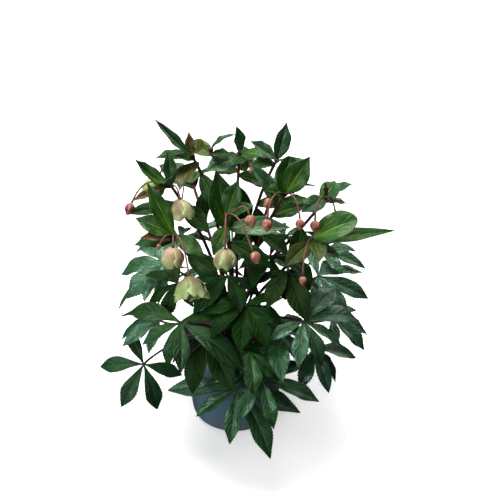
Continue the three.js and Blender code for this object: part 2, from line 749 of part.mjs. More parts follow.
const pot = keep(potSolid(), "pot");
const numbered = (name, i) => name + "_" + String(i + 1).padStart(2, "0");
const stemSeats = pairSeats(STEMS.map(({ top }) => Math.atan2(top[1], top[0]) / DEG), 0);
const leafSeats = pairSeats(LEAVES.map(([azimuth]) => azimuth), STEMS.length);
const bloomForm = bloomSolid();
const budForm = budSolid();
const flowerNodes = [];

// Flower stems with their flower stalks, and the flowers on them.
const stems = STEMS.map((row, s) => {
  const name = numbered("flower_stem", s);
  const top = new THREE.Vector3(...row.top);
  const lean = heading(Math.atan2(top.y, top.x) / DEG, 62);
  const stalk = growStalk(name, stemSeats[s], top, lean, STEM_R, 5, 6);
  const pieces = [stalk.solid, keep(knobSolid(top, lean), name)];
  for (const [kind, x, y, z, faceAzimuth, faceElevation, size] of row.flowers) {
    const direction = heading(faceAzimuth, faceElevation);
    const seat = new THREE.Vector3(x, y, z);
    pieces.push(keep(tube(pedicelCurve(top, seat, direction), PEDICEL_R, 4, 4), name));
    const form = kind === "bloom" ? bloomForm : budForm;
    const flower = placed(form, seat.clone().addScaledVector(direction, GAP), direction, size);
    flowerNodes.push({ kind, solid: flower });
    keep(flower, name + " " + kind);
  }
  return { name, row, stalk, top, pieces };
});

// Leaf stalks.
const leaves = LEAVES.map((row, i) => {
  const [azimuth, reach, height, aimAzimuth, aimElevation, roll, length, fan, form = LEAFLET] = row;
  const name = numbered("leaf", i);
  const hub = heading(azimuth, 0).multiplyScalar(reach).setZ(height);
  const axis = heading(aimAzimuth, aimElevation);
  const normal = upright(axis).applyAxisAngle(axis, roll * DEG);
  const arrive = axis.clone().multiplyScalar(0.55).addScaledVector(normal, 0.83).normalize();
  const stalk = growStalk(name, leafSeats[i], hub, arrive, PETIOLE_R, 4, 6);
  const leaflets = leafletsOf(fan);
  const joint = leafJoint(hub, axis, normal, leaflets.map(([angle]) => angle));
  const pieces = [stalk.solid];
  return { name, stalk, seed: i + 1, hub, axis, normal, length, leaflets, form, joint, pieces };
});

// Bracts of the flower stems.
stems.forEach(({ name, row, stalk, top, pieces }, s) => {
  const random = seeded(900 + s);
  const light = top.clone().sub(SHADE).setZ(0).normalize().multiplyScalar(LIGHT_LEAN).add(UP);
  for (const [share, azimuth, elevation, length, width, bend, roll, form = BRACT] of row.bracts) {
    const out = heading(azimuth, elevation);
    const up = light.clone().addScaledVector(out, -out.dot(light)).normalize();
    const root = share === 1 ? top.clone() : stalk.curve.getPoint(share);
    const blade = {
      form,
      root: root.addScaledVector(out, (share === 1 ? KNOB_R : STEM_R) - SUNK),
      out,
      up: up.applyAxisAngle(out, roll * DEG),
      length,
      width,
      bend,
      twist: 30 * (random() - 0.5),
      phase: random(),
    };
    const solid = growBlade(blade, name);
    if (solid) pieces.push(solid);
  }
});

// Leaflets of the palmate leaves.
for (const { name, seed, hub, axis, normal, length, leaflets, form, joint, pieces } of leaves) {
  const random = seeded(seed);
  leaflets.forEach(([angle, share], i) => {
    const away = -(angle + 6 * (random() - 0.5)) * DEG;
    const out = axis.clone().applyAxisAngle(normal, away);
    const across = out.clone().cross(normal);
    const rise = LEAFLET_RISE + 10 * (random() - 0.5) - Math.abs(angle) / 15;
    out.applyAxisAngle(across, rise * DEG);
    const up = normal.clone().applyAxisAngle(across, rise * DEG);
    up.applyAxisAngle(out, LEAFLET_ROLL * Math.sign(Math.round(angle / 20)) * DEG);
    const long = length * share * (0.95 + 0.1 * random());
    const blade = {
      form,
      base: joint(i),
      root: hub,
      out,
      up,
      length: long,
      width: long * LEAFLET_SLENDER * (0.92 + 0.16 * random()),
      bend: LEAFLET_BEND + 24 * (random() - 0.5),
      twist: 24 * (random() - 0.5),
      phase: random(),
    };
    const solid = growBlade(blade, name);
    if (solid) pieces.push(solid);
  });
}

addNode("pot", pot);
addNode("soil", soilSolid([...leaves, ...stems].map(({ stalk }) => stalk)));
for (const { name, pieces } of [...leaves, ...stems]) addNode(name, fuse(name, pieces));
for (const kind of ["bloom", "bud"])
  flowerNodes
    .filter((flower) => flower.kind === kind)
    .forEach((flower, i) => addNode(numbered(kind, i), flower.solid));

export default plant;
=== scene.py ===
# The looks of a hellebore in its nursery pot. Lengths are in millimetres until a mesh is made.
#
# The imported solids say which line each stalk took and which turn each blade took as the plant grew. This
# script grows the same plant again from the same tables, reads those choices back, and gives every leaf,
# flower stem, bloom and bud a finer surface with veins, teeth, sepals and stamens.
from math import atan2, cos, degrees, pi, radians, sin, sqrt, tau

import bpy
import numpy as np
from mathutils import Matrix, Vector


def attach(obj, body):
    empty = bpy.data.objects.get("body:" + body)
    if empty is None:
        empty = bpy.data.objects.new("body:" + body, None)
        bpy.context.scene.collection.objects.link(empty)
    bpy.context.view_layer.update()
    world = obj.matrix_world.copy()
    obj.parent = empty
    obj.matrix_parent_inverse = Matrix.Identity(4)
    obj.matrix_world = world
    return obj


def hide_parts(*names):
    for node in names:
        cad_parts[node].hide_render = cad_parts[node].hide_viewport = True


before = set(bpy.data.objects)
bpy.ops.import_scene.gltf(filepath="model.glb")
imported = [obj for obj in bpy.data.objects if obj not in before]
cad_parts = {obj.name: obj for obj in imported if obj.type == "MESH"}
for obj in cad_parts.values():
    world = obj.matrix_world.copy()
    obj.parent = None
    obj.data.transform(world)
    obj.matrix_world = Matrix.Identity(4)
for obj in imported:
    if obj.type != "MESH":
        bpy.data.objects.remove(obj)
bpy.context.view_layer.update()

MM = 0.001
GAP = 0.3
UP = np.array([0.0, 0.0, 1.0])

# ---- driving dimensions
POT_HEIGHT = 140
POT_BASE_R = 66
POT_TOP_R = 82
POT_WALL = 2
POT_EDGE_R = 10
RIM_OUT = 4.5
RIM_DEEP = 9
POT_FLOOR = 3.5
DRAIN_R = 4.5
DRAIN_RING_R = 30
DRAINS = 5

SOIL_TOP = 127
SOIL_MOUND = 5
HOLE_DEEP = 9
CROWN_SPACING = 5.1
CROWN_R = 38
GOLDEN_ANGLE = 137.508

SHADE = np.array([0.0, 60.0, 0.0])
LIGHT_LEAN = 0.55

PETIOLE_R = 1.9
STEM_R = 2.4
KNOB_R = 4.4
PEDICEL_R = 1.15
BLOOM_R = 15
BLOOM_LONG = 27
STAMENS_LONG = 17
BUD_R = 6
BUD_LONG = 15
SEPALS = 5

LEAFLET = {"rise": 1.45, "fall": 0.95, "fold": 13, "midrib": (0.3, 0.66)}
OBOVATE = {"rise": 1.7, "fall": 0.95, "fold": 8, "midrib": (0.3, 0.66)}
BRACT = {"rise": 0.9, "fall": 0.95, "fold": 16, "midrib": (0.3, 0.68)}
BROAD = {**BRACT, "rise": 0.8, "fall": 0.62}
ROOT_HALF_WIDTH = 1
WAVE = 1.2
WAVES = 2.5
OUTER_LENGTH = 0.74
LEAFLET_SLENDER = 0.31
LEAFLET_RISE = 14
LEAFLET_BEND = 46
LEAFLET_ROLL = 20
HUB_HALF_HIGH = 1.6
HUB_R = 2.8
SUNK = 3.2
RAMIFY_EL = 34
BRACT_SEED = 900

TURNS = [
    (length, yaw, pitch)
    for length in (1, 0.86, 0.7)
    for yaw in (0, 8, -8, 16, -16)
    for pitch in (0, 9, -9, 18, -18, 28, -28)
]
LINES = [(bow, rise) for bow in (0, 5, -5, 11, -11, 18, -18, 26, -26) for rise in (0.42, 0.3, 0.55)]

# ---- how each leaf and stem grows
# Palmate leaves: azimuth, reach and height of the hub, heading of the middle of the blade (azimuth,
# elevation), roll, the longest leaflet's length, the leaflets, and a form where it isn't LEAFLET.
LEAVES = [
    [
        -119, 138, 251, -102, -38, -1, 84,
        [[-116, 0.7], [-70, 1.25], [-16, 0.8], [20, 0.8], [62, 0.7], [106, 1]],
    ],
    [-154, 116, 203, 178, -20, -8, 80, [[-74, 0.7], [-30, 0.8], [2, 1], [34, 1.05], [78, 0.7]]],
    [-152, 147, 138, -138, -45, -34, 74, [[-111, 0.78], [-54, 1], [-5, 1], [64, 0.98], [124, 0.78]], OBOVATE],
    [-87, 126, 141, -92, -40, -2, 100, [[-76, 0.95], [-34, 1.05], [4, 0.8], [60, 0.7], [94, 1]]],
    [-74, 146, 172, -74, -42, 7, 86, [[-105, 0.8], [-63, 1], [0, 0.84], [50, 0.8], [102, 1]]],
    [
        -49, 145, 244, -45, -37, 10, 90,
        [[-106, 0.9], [-74, 1.08], [-32, 0.78], [4, 0.74], [50, 0.7], [104, 0.66]],
    ],
    [-37, 141, 180, -49, -45, -3, 78, [[-60, 1], [-22, 0.8], [14, 0.85], [54, 0.8]]],
    [-12, 146, 192, 10, -22, 15, 72, [5, 90]],
    [0, 123, 245, 6, -14, 20, 82, [6, 100]],
    [17, 137, 262, 30, -8, 10, 74, [5, 90]],
    [-168, 96, 279, 165, -16, -20, 84, [5, 90]],
    [-141, 96, 273, -164, -26, -16, 62, [5, 100]],
    [-80, 106, 266, -95, -28, -2, 68, [7, 120]],
    [-96, 62, 285, -130, -14, -17, 74, [5, 110]],
    [-38, 96, 292, -50, -22, 5, 78, [6, 112]],
    [-106, 122, 222, -59, -28, 22, 84, [5, 100]],
    [-38, 65, 304, -54, -14, 9, 68, [6, 112]],
    [-80, 138, 214, -84, -44, -2, 60, [5, 100]],
    [38, 142, 176, 38, -30, 0, 82, [5, 108]],
    [72, 146, 190, 72, -34, 0, 86, [5, 112]],
    [108, 142, 168, 108, -30, 0, 82, [5, 108]],
    [146, 146, 188, 146, -32, 0, 86, [5, 112]],
    [-57, 108, 219, -62, -34, 4, 84, [6, 108]],
    [50, 122, 256, 50, -16, 0, 84, [5, 114]],
    [92, 124, 262, 92, -18, 0, 84, [5, 112]],
    [134, 120, 258, 134, -14, 0, 84, [5, 110]],
]

# Flower stems: the top [x, y, z], then the bracts, each [share of the stem's height, azimuth, elevation,
# length, width, bend, and a roll and a form where they aren't 0 and BRACT], and the flower stalks, each
# [kind, x, y, z of the seat, azimuth and elevation that the flower faces, size].
STEMS = [
    ([-53, 10, 430], [
        [1, -167, 47, 78, 20, -12], [1, 122, 72, 33, 12, 8], [1, -72, 49, 50, 27, 30],
        [0.98, -149, 28, 60, 28, 25], [0.97, -109, -1, 65, 30, 20], [0.82, -120, -42, 61, 21, 18],
        [0.9, -62, -34, 57, 20, 20],
    ], [["bloom", -98, -12, 411, -150, -62, 0.95]]),
    ([-79, -38, 411], [
        [1, 107, 83, 46, 16, 8, 50], [0.99, -160, 29, 74, 25, -40], [1, -149, 6, 58, 12, 15],
        [0.86, -164, 4, 82, 19, 12], [1, -112, 51, 49, 18, 50], [0.86, -50, -18, 54, 20, 20],
    ], [["bloom", -66, -62, 404, -70, -70, 1.02], ["bud", -130, -52, 393, -135, -58, 1.05]]),
    ([-74, -85, 363], [
        [1, 161, 65, 76, 29, 14], [1, 174, 30, 54, 25, 20], [0.98, -150, 30, 49, 16, 20],
        [0.97, -170, 4, 56, 27, 25], [1, -36, -10, 50, 20, 30], [0.8, -38, -11, 54, 22, 20],
    ], [
        ["bloom", -73, -113, 363, -105, -78, 0.96], ["bloom", -52, -142, 338, -78, -52, 1.28],
        ["bud", -90, -104, 362, -150, -60, 0.5],
    ]),
    ([-6, -72, 386], [
        [0.86, 160, 80, 86, 34, 8], [0.87, -17, 16, 86, 25, 18], [1, 32, 70, 48, 22, 10],
        [0.9, -121, -30, 46, 20, 20], [1, -23, 34, 42, 18, 15], [0.74, -28, -13, 72, 21, 20],
    ], [
        ["bloom", -7, -117, 363, -90, -80, 0.95], ["bud", 23, -92, 398, -60, -62, 1.1],
        ["bud", 28, -122, 362, -50, -55, 1.05],
    ]),
    ([60, 10, 425], [
        [1, 35, 72, 52, 21, 6], [1, -171, 44, 46, 21, 10], [0.98, -140, 26, 44, 16, 40],
        [1, -50, 20, 54, 22, 20], [0.72, -69, -39, 59, 25, 20], [0.62, -126, -31, 51, 22, 20],
    ], [["bud", 30, 4, 418, 180, -55, 0.7]]),
    ([-30, 42, 426], [
        [1, -25, 58, 44, 11, 50], [0.98, -47, 25, 38, 12, 20], [0.97, 150, 20, 48, 22, 20],
    ], []),
    ([70, -40, 400], [
        [0.99, 75, 72, 54, 31, 10, 0, BROAD], [1, 10, 58, 60, 30, 12], [0.9, -177, 72, 74, 24, 34],
        [0.96, -41, 16, 50, 20, 10], [0.98, -130, 42, 40, 20, 20], [0.7, -36, -15, 50, 22, 20],
    ], [
        ["bud", 46, -92, 392, -100, -66, 1.05], ["bud", 52, -58, 402, -150, -40, 0.9],
        ["bud", 88, -74, 382, -80, -70, 0.95],
    ]),
    ([126, -10, 378], [
        [1, -20, 41, 44, 24, 8], [1, -128, 6, 52, 22, 15], [0.98, -2, 4, 36, 12, 25],
        [1, 94, 75, 20, 9, 5], [0.96, 60, 20, 56, 24, 20], [0.78, -100, -42, 56, 25, 22],
    ], [["bud", 141, -14, 358, -30, -68, 0.95], ["bud", 109, -62, 373, -90, -76, 1.05]]),
    ([106, -58, 341], [
        [1, 0, 34, 66, 37, 20, 0, BROAD], [0.96, 12, 7, 128, 27, 14], [0.95, -30, 8, 50, 20, 15],
        [1, -80, 10, 54, 25, 24], [0.96, -128, -6, 50, 23, 30], [0.8, -55, -31, 50, 23, 24],
    ], [["bud", 92, -114, 320, -90, -70, 0.8]]),
    ([10, 50, 418], [
        [1, 153, 84, 38, 19, 4], [0.98, -140, 14, 62, 27, 20], [0.98, -100, 14, 56, 23, 25],
        [1, -40, 16, 56, 26, 20], [0.97, 60, -6, 60, 26, 24], [0.82, -60, -39, 65, 24, 20],
    ], [["bloom", 14, 96, 398, 80, -66, 1]]),
    ([60, 80, 352], [
        [1, 50, 14, 72, 30, 20], [1, 130, 12, 66, 27, 25], [0.97, 0, 20, 66, 27, 28],
        [0.96, 85, 4, 62, 26, 24],
    ], [["bloom", 82, 114, 360, 60, -68, 1], ["bud", 92, 98, 322, 40, -60, 0.95]]),
    ([-60, 80, 356], [
        [1, 140, 14, 72, 30, 20], [1, 60, 12, 64, 27, 20], [0.97, 180, 20, 68, 27, 28],
        [0.96, 105, 2, 64, 26, 24],
    ], [["bloom", -82, 126, 300, 120, -66, 1.05]]),
]

# ---- small helpers
def unit(v):
    return v / np.linalg.norm(v)


def heading(azimuth, elevation):
    a, e = radians(azimuth), radians(elevation)
    return np.array([cos(a) * cos(e), sin(a) * cos(e), sin(e)])


def azimuth_of(v):
    return degrees(atan2(v[1], v[0]))


def rotated(v, axis, angle):
    c, s = cos(radians(angle)), sin(radians(angle))
    return v * c + np.cross(axis, v) * s + axis * np.dot(axis, v) * (1 - c)


def upright(direction):
    return unit(UP - direction * direction[2])


def seeded(seed):
    """A repeatable stream of numbers from 0 to 1, the same as the solids were grown with."""
    state = seed

    def draw():
        nonlocal state
        state = (state * 1664525 + 1013904223) % 4294967296
        return state / 4294967296

    return draw


def turn_from_up(direction):
    """The matrix of the shortest turn that takes +Z to `direction`."""
    axis = np.cross(UP, direction)
    length = np.linalg.norm(axis)
    if length < 1e-9:
        return np.eye(3) if direction[2] > 0 else np.diag([1.0, -1.0, -1.0])
    axis = axis / length
    angle = degrees(atan2(length, direction[2]))
    return np.array([rotated(e, axis, angle) for e in np.eye(3)]).T


def smooth(x, low, high):
    t = np.clip((np.asarray(x, float) - low) / (high - low), 0, 1)
    return t * t * (3 - 2 * t)


def around(sides):
    return np.linspace(0, tau, sides, endpoint=False)


def polar(r, a, z):
    """Points at these distances from the Z axis, angles and heights."""
    return np.stack(np.broadcast_arrays(r * np.cos(a), r * np.sin(a), z), axis=-1)


def round_uv(share, a):
    return np.stack(np.broadcast_arrays(share[:, None], (a / tau)[None]), axis=-1)


def wobble(points, scale, seed):
    """Smooth noise from -1 to 1 at each point: a sum of waves in seeded directions."""
    draw = np.random.default_rng(seed)
    total = np.zeros(points.shape[:-1])
    for octave in range(3):
        for _ in range(4):
            wave = draw.normal(size=3) * scale * 2**octave
            total += np.sin(points @ wave + draw.uniform(0, tau)) / 2**octave
    return total / 4


# ---- reading how the plant grew
CLOSE = 0.02
STALK_RINGS = 6


class Grown:
    """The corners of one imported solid, in millimetres."""

    def __init__(self, name):
        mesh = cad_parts[name].data
        flat = np.empty(3 * len(mesh.vertices))
        mesh.vertices.foreach_get("co", flat)
        self.points = np.unique(np.round(flat.reshape(-1, 3) / MM, 3), axis=0)

    def distances(self, places):
        return np.linalg.norm(self.points[None] - np.atleast_2d(places)[:, None], axis=2)

    def has(self, places):
        """Which of these places are corners of the solid."""
        return self.distances(places).min(axis=1) < CLOSE

    def rings(self, centres, radius):
        """How many corners of the solid lie at `radius` from one of these centres."""
        return (np.abs(self.distances(centres) - radius) < CLOSE).sum()


def bezier(controls, t):
    a, b, c, d = controls
    t = np.asarray(t)[..., None]
    return a * (1 - t) ** 3 + b * 3 * t * (1 - t) ** 2 + c * 3 * t * t * (1 - t) + d * t**3


def spaced(controls, count):
    """`count` + 1 points at even steps along the curve."""
    t = np.linspace(0, 1, 201)
    along = np.concatenate([[0], np.cumsum(np.linalg.norm(np.diff(bezier(controls, t), axis=0), axis=1))])
    return bezier(controls, np.interp(np.linspace(0, along[-1], count + 1), along, t))


def pair_seats(azimuths, first):
    """The seats of the stalks in the crown: a golden-angle spiral, paired with the stalks by azimuth."""
    count = len(azimuths)

    def wrap(angle):
        return (angle + 540) % 360 - 180

    places = sorted(
        (wrap((first + i) * GOLDEN_ANGLE), CROWN_SPACING * sqrt(first + i + 0.5)) for i in range(count)
    )
    order = sorted((wrap(a), i) for i, a in enumerate(azimuths))

    def turned_by(shift):
        return sum(wrap(places[(k + shift) % count][0] - order[k][0]) ** 2 for k in range(count))

    best = min(range(count), key=turned_by)
    seats = {}
    for k, (_, i) in enumerate(order):
        azimuth, reach = places[(k + best) % count]
        seats[i] = heading(azimuth, 0) * reach
    return seats


def stalk_curve(seat, end, arrive, bow, rise):
    start = np.array([seat[0], seat[1], SOIL_TOP + SOIL_MOUND - HOLE_DEEP])
    span = np.linalg.norm(end - start)
    sideways = unit(np.array([-end[1], end[0], 0.0])) * bow
    first = start + UP * max(rise * span, 44)
    second = end - 0.3 * span * arrive + sideways
    return np.array([start, first, second, end])


def grown_stalk(solid, seat, end, arrive, radius):
    """The curve of the line that this stalk took: the one with the most of the solid's corners round it."""
    curves = [stalk_curve(seat, end, arrive, *line) for line in LINES]
    return max(curves, key=lambda curve: solid.rings(spaced(curve, STALK_RINGS)[1:-1], radius))


def blade_frame(blade, t):
    """Places on a blade's midrib at shares t of its length, and the directions across and out of its face."""
    t = np.asarray(t, float)[..., None]
    bend = radians(blade["bend"] if abs(blade["bend"]) >= 0.1 else 0.1)
    a = bend * t
    out, up = blade["out"], blade["up"]
    across = np.cross(out, up)
    centre = blade["root"] + blade["length"] / bend * (out * np.sin(a) - up * (1 - np.cos(a)))
    face = up * np.cos(a) + out * np.sin(a)
    turn = radians(blade["twist"]) * t
    c, s = np.cos(turn), np.sin(turn)
    return centre, across * c + face * s, face * c - across * s


def half_width(blade, t):
    rise, fall = blade["form"]["rise"], blade["form"]["fall"]
    widest = rise / (rise + fall)
    swell = (t / widest) ** rise * (np.maximum(1 - t, 0) / (1 - widest)) ** fall
    return ROOT_HALF_WIDTH * (1 - t) + blade["width"] / 2 * swell


def drawn_out(t):
    """Narrows a blade towards its tip, which ends in a fine point."""
    return 1 - 0.34 * smooth(t, 0.62, 0.96) * (1 - 0.5 * smooth(t, 0.96, 1.0))


def turned(blade, length, yaw, pitch):
    across = np.cross(blade["out"], blade["up"])
    out = rotated(rotated(blade["out"], blade["up"], yaw), across, pitch)
    up = rotated(blade["up"], across, pitch)
    up = unit(up - out * np.dot(up, out))
    sizes = {key: blade[key] * length for key in ("length", "width")}
    return {**blade, "out": out, "up": up, **sizes}


def grown_blade(solid, blade):
    """The blade in the turn that it took, or None where it found no room: its tip is a corner of the solid,
    and so are points of its midrib."""
    choices = [turned(blade, *turn) for turn in TURNS]
    near = solid.has([blade_frame(choice, 1.0)[0] for choice in choices])
    best, most = None, 0
    for choice in (choice for choice, close in zip(choices, near) if close):
        found = 0
        for t in blade["form"]["midrib"]:
            centre, _, normal = blade_frame(choice, t)
            thick = 1 - 0.4 * t
            found += solid.has([centre + normal * thick, centre - normal * thick]).sum()
        if found > most:
            best, most = choice, found
    return best


# ---- meshes
class Piece:
    """One object in the making. Each surface comes as a grid of points with its UVs, its tone (a colour
    attribute that the materials read) and the number of its material."""

    def __init__(self):
        self.points, self.uvs, self.tones, self.unders = [], [], [], []
        self.faces, self.slots = [], []
        self.count = 0

    def add_points(self, points, uvs, tone, under=0.0):
        points = np.asarray(points, float).reshape(-1, 3)
        n = len(points)
        self.points.append(points)
        self.uvs.append(np.asarray(uvs, float).reshape(-1, 2))
        self.tones.append(np.broadcast_to(tone, (n, 4)))
        self.unders.append(np.broadcast_to(np.asarray(under, float).reshape(-1), (n,)))
        start = self.count
        self.count += n
        return np.arange(start, start + n)

    def add_face(self, corners, slot):
        self.faces.append(tuple(corners))
        self.slots.append(slot)

    def add_strip(self, index, slot, flip=False, closed=False):
        """Quads between neighbouring rows of a grid of point numbers; closed joins the last column to the
        first."""
        if closed:
            index = np.concatenate([index, index[:, :1]], axis=1)
        a, b, c, d = index[:-1, :-1], index[:-1, 1:], index[1:, 1:], index[1:, :-1]
        quads = np.stack([a, b, c, d], axis=-1).reshape(-1, 4)
        if flip:
            quads = quads[:, ::-1]
        for quad in quads.tolist():
            corners = [p for k, p in enumerate(quad) if p != quad[k - 1]]
            if len(set(corners)) > 2:
                self.add_face(corners, slot)

    def add_caps(self, index, ends, slot, tone):
        """Fans of faces that close a tube of points at both ends."""
        for row, end in zip((0, -1), ends):
            tip = self.add_points([end], [[-row, 0.5]], tone)[0]
            for a, b in zip(index[row], np.roll(index[row], -1)):
                self.add_face((tip, b, a) if row == 0 else (a, b, tip), slot)

    def add_lathed(self, rings, uv, flip=False):
        """A closed surface through rings of points, whose first and last are one point."""
        index = self.add_points(rings, uv, (0, 0, 0, 0)).reshape(rings.shape[:2])
        index[[0, -1]] = index[[0, -1], :1]
        self.add_strip(index, 0, flip, closed=True)

    def make(self, name, materials):
        mesh = bpy.data.meshes.new(name)
        mesh.from_pydata((np.concatenate(self.points) * MM).tolist(), [], self.faces)
        mesh.polygons.foreach_set("material_index", self.slots)
        mesh.polygons.foreach_set("use_smooth", [True] * len(self.faces))
        corners = np.empty(len(mesh.loops), int)
        mesh.loops.foreach_get("vertex_index", corners)
        layer = mesh.uv_layers.new(name="UVMap")
        layer.data.foreach_set("uv", np.concatenate(self.uvs)[corners].ravel())
        for kind, label, key, values in (
            ("FLOAT_COLOR", "tone", "color", self.tones), ("FLOAT", "under", "value", self.unders),
        ):
            mesh.attributes.new(label, kind, "POINT").data.foreach_set(key, np.concatenate(values).ravel())
        for material in materials:
            mesh.materials.append(material)
        mesh.update()
        piece = bpy.data.objects.new(name, mesh)
        bpy.context.scene.collection.objects.link(piece)
        return piece


def frames_along(line):
    """Two directions square to a line of points at each of them, turning as little as they can."""
    ahead = np.gradient(line, axis=0)
    ahead /= np.linalg.norm(ahead, axis=1, keepdims=True)
    side = unit(np.cross(ahead[0], [0.31, 0.83, 0.46]))
    sides = []
    for direction in ahead:
        side = unit(side - direction * np.dot(side, direction))
        sides.append(side)
    sides = np.array(sides)
    return sides, np.cross(ahead, sides)


def add_tube(piece, line, radii, sides, slot, tone):
    """A closed round tube along a line of points."""
    side, up = frames_along(line)
    a = around(sides)
    ring = np.cos(a)[None, :, None] * side[:, None] + np.sin(a)[None, :, None] * up[:, None]
    points = line[:, None] + ring * np.asarray(radii)[:, None, None]
    index = piece.add_points(points, round_uv(np.linspace(0, 1, len(line)), a), tone).reshape(-1, sides)
    piece.add_strip(index, slot, closed=True)
    piece.add_caps(index, (line[0], line[-1]), slot, tone)


def add_round(piece, profile, sides, slot, tone, matrix, origin, ridge=lambda angle, share: 1):
    """A closed lathed form along +Z, turned by `matrix` and set at `origin`. `profile` is (radius, height)
    from one pole to the other, and ridge(angle, share) scales its radius."""
    profile = np.asarray(profile, float)
    share = np.linspace(0, 1, len(profile))[1:-1]
    a = around(sides)
    r = profile[1:-1, :1] * np.ones(sides) * ridge(a[None], share[:, None])
    rings = polar(r, a, profile[1:-1, 1:]) @ matrix.T + origin
    index = piece.add_points(rings, round_uv(share, a), tone).reshape(r.shape)
    piece.add_strip(index, slot, closed=True)
    ends = [np.array([0, 0, height]) @ matrix.T + origin for height in (profile[0, 1], profile[-1, 1])]
    piece.add_caps(index, ends, slot, tone)


def add_sheet(piece, upper, lower, uv, tone):
    """A closed thin sheet from two grids of points that meet along their sides and their last row."""
    rows, columns = upper.shape[:2]
    edge = np.zeros((rows, columns), bool)
    edge[:, [0, -1]] = edge[-1] = True
    top = piece.add_points(upper, uv, tone, np.where(edge, 0.5, 0.0)).reshape(rows, columns)
    bottom = top.copy()
    bottom[~edge] = piece.add_points(lower[~edge], uv[~edge], tone, 1.0)
    if np.allclose(upper[-1], upper[-1, :1]):
        top[-1] = bottom[-1] = top[-1, 0]
    piece.add_strip(top, 0)
    piece.add_strip(bottom, 0, flip=True)
    piece.add_strip(np.stack([top[0], bottom[0]]), 0, flip=True)


# ---- blades
SIDE_SHARES = np.array([0.04, 0.11, 0.22, 0.38, 0.55, 0.72, 0.87, 0.96, 1.0])
BLADE_S = np.concatenate([-SIDE_SHARES[::-1], [0.0], SIDE_SHARES])
BASE_ROWS = (0, 0.03, 0.07, 0.12, 0.18, 0.25, 0.32, 0.39)
SHEET_HALF = 0.28  # half the thickness of a blade between its veins
RIB_DEEP = 0.9  # how far the midrib stands out under the blade at its root
GROOVE = 0.3
PUCKER = 0.5
ARCH = 0.05
CREASE = 0.12
TEETH_TO = 0.97
TOOTH_LEAN = 0.35


def add_blade(piece, blade, tone, look, fuller):
    """A leaflet or a bract: folded along its midrib, arched between its veins, with forward teeth."""
    first, tooth_long, tooth_deep, veins, vein_slant, pucker = look
    count = max(5, round(blade["length"] * (TEETH_TO - first) / tooth_long))
    step = (TEETH_TO - first) / count
    base = [t * first / LEAFLET_LOOK[0] for t in BASE_ROWS]
    rows = np.array(base + [first + step * k / 2 for k in range(2 * count + 1)] + [1.0])
    number = np.arange(len(rows)) - len(base)
    in_teeth = (number >= 0) & (number < 2 * count)
    side = np.sign(BLADE_S)[None]
    # A tooth's point on one side is level with a notch on the other.
    point = np.where(in_teeth, np.where(number % 2 == 0, 1.0, -1.0), 0.0)[:, None] * side
    s = np.broadcast_to(BLADE_S[None], (len(rows), len(BLADE_S)))
    out = np.abs(s)
    t = np.minimum(rows[:, None] + TOOTH_LEAN * step * (point > 0) * out**8, 1.0)
    half = half_width(blade, t) * (1 if blade["form"] is BROAD else drawn_out(t)) * fuller
    # Teeth fade towards the tip, where the blade is narrow.
    deep = tooth_deep * smooth(rows, first - 0.03, first + 0.12)[:, None] * np.minimum(1, half / 5)
    across = s * (half + deep * point * out**8)
    fold = radians(blade["form"]["fold"])
    fade = np.minimum(1, half / 8)
    swing = np.sin(tau * (WAVES * t + blade["phase"] + 0.25 * side))
    ripple = WAVE * np.sin(pi * t) * swing
    vein = np.cos(tau * veins * (t - vein_slant * out))
    height = (
        out * half * sin(fold)
        + ripple * out**1.2
        + ARCH * half * np.sin(pi * out)
        - PUCKER * fade * (out * (1 - out) * 4) * vein * pucker
        + CREASE * fade * wobble(np.stack([t * 9, s * 2, t * 0 + blade["phase"] * 9], -1), 1.0, 5)
    )
    centre, sideways, normal = blade_frame(blade, t)
    middle = centre + sideways * (across * cos(fold))[..., None] + normal * height[..., None]
    thin = SHEET_HALF * np.maximum(0, 1 - out**10)
    rib = np.exp(-((across / 1.1) ** 2))
    groove = GROOVE * fade * rib
    ridge = (RIB_DEEP * (1 - t) ** 0.7 + 0.1) * rib * np.minimum(1, half / 3)
    upper = middle + normal * (thin - groove)[..., None]
    lower = middle - normal * (thin + ridge)[..., None]
    for grid in (upper, lower):
        grid[-1] = centre[-1]
    lower[:, [0, -1]] = upper[:, [0, -1]]
    add_sheet(piece, upper, lower, np.stack([t, (s + 1) / 2], axis=-1), tone)


# ---- looks
LEAF_SEED, STEM_SEED, BLOOM_SEED, BUD_SEED = 5000, 7000, 8000, 9000
# A tone is (light, fresh, brown, teal), each from 0 to 1: how light the green is, how far yellow-green
# spreads from the root, how brown the blade is, and how blue-grey its bloom of wax is.
DEEP = (0.3, 0.25, 0, 0.15)
TEAL = (0.4, 0.2, 0, 0.85)
FRESH = (0.8, 0.85, 0, 0.05)
OLIVE = (0.6, 0.6, 0.45, 0)
RUSSET = (0.7, 0.5, 0.7, 0)
BROWN = (0.3, 0.3, 1, 0)
# Painted shade: a near-black green for the leaves and low bracts in the middle of the plant.
INNER_SHADE = (0, 0.1, 0, 0.05)
# A blue-grey wax bloom on a light green; the light green is painted light on upper bracts that face away from
# the key lamp.
LIT_WAX = (0.7, 0.2, 0, 1)
BROADLEAF = (0.5, 0.75, 0, 0.05)
# A green darker than DEEP for the small bracts low in the plant's middle: painted shade.
YOUNG_SHADE = (0.12, 0.35, 0, 0.05)

# The tones of each stem's bracts. None, and those past the end of a row, are DEEP, or INNER_SHADE (painted
# shade) low down.
BRACT_TONES = [
    [LIT_WAX, BROWN, OLIVE, None, RUSSET],
    [TEAL, FRESH, BROWN, None, TEAL],
    [BROADLEAF, (0.3, 0.6, 0, 0), BROWN],
    [(0.15, 0.6, 0, 0), TEAL, None, (0.3, 0.5, 0, 0.05)],
    [LIT_WAX, LIT_WAX],
    [TEAL, None, OLIVE],
    [BROADLEAF, BROADLEAF, TEAL, None, FRESH],
    [LIT_WAX, TEAL, OLIVE, BROWN, FRESH],
    [BROADLEAF, BROADLEAF, None, OLIVE, OLIVE],
    [LIT_WAX, TEAL, None, (0.4, 0.5, 0, 0.1)],
    [None, FRESH, None, OLIVE],
    [TEAL, None, FRESH],
]
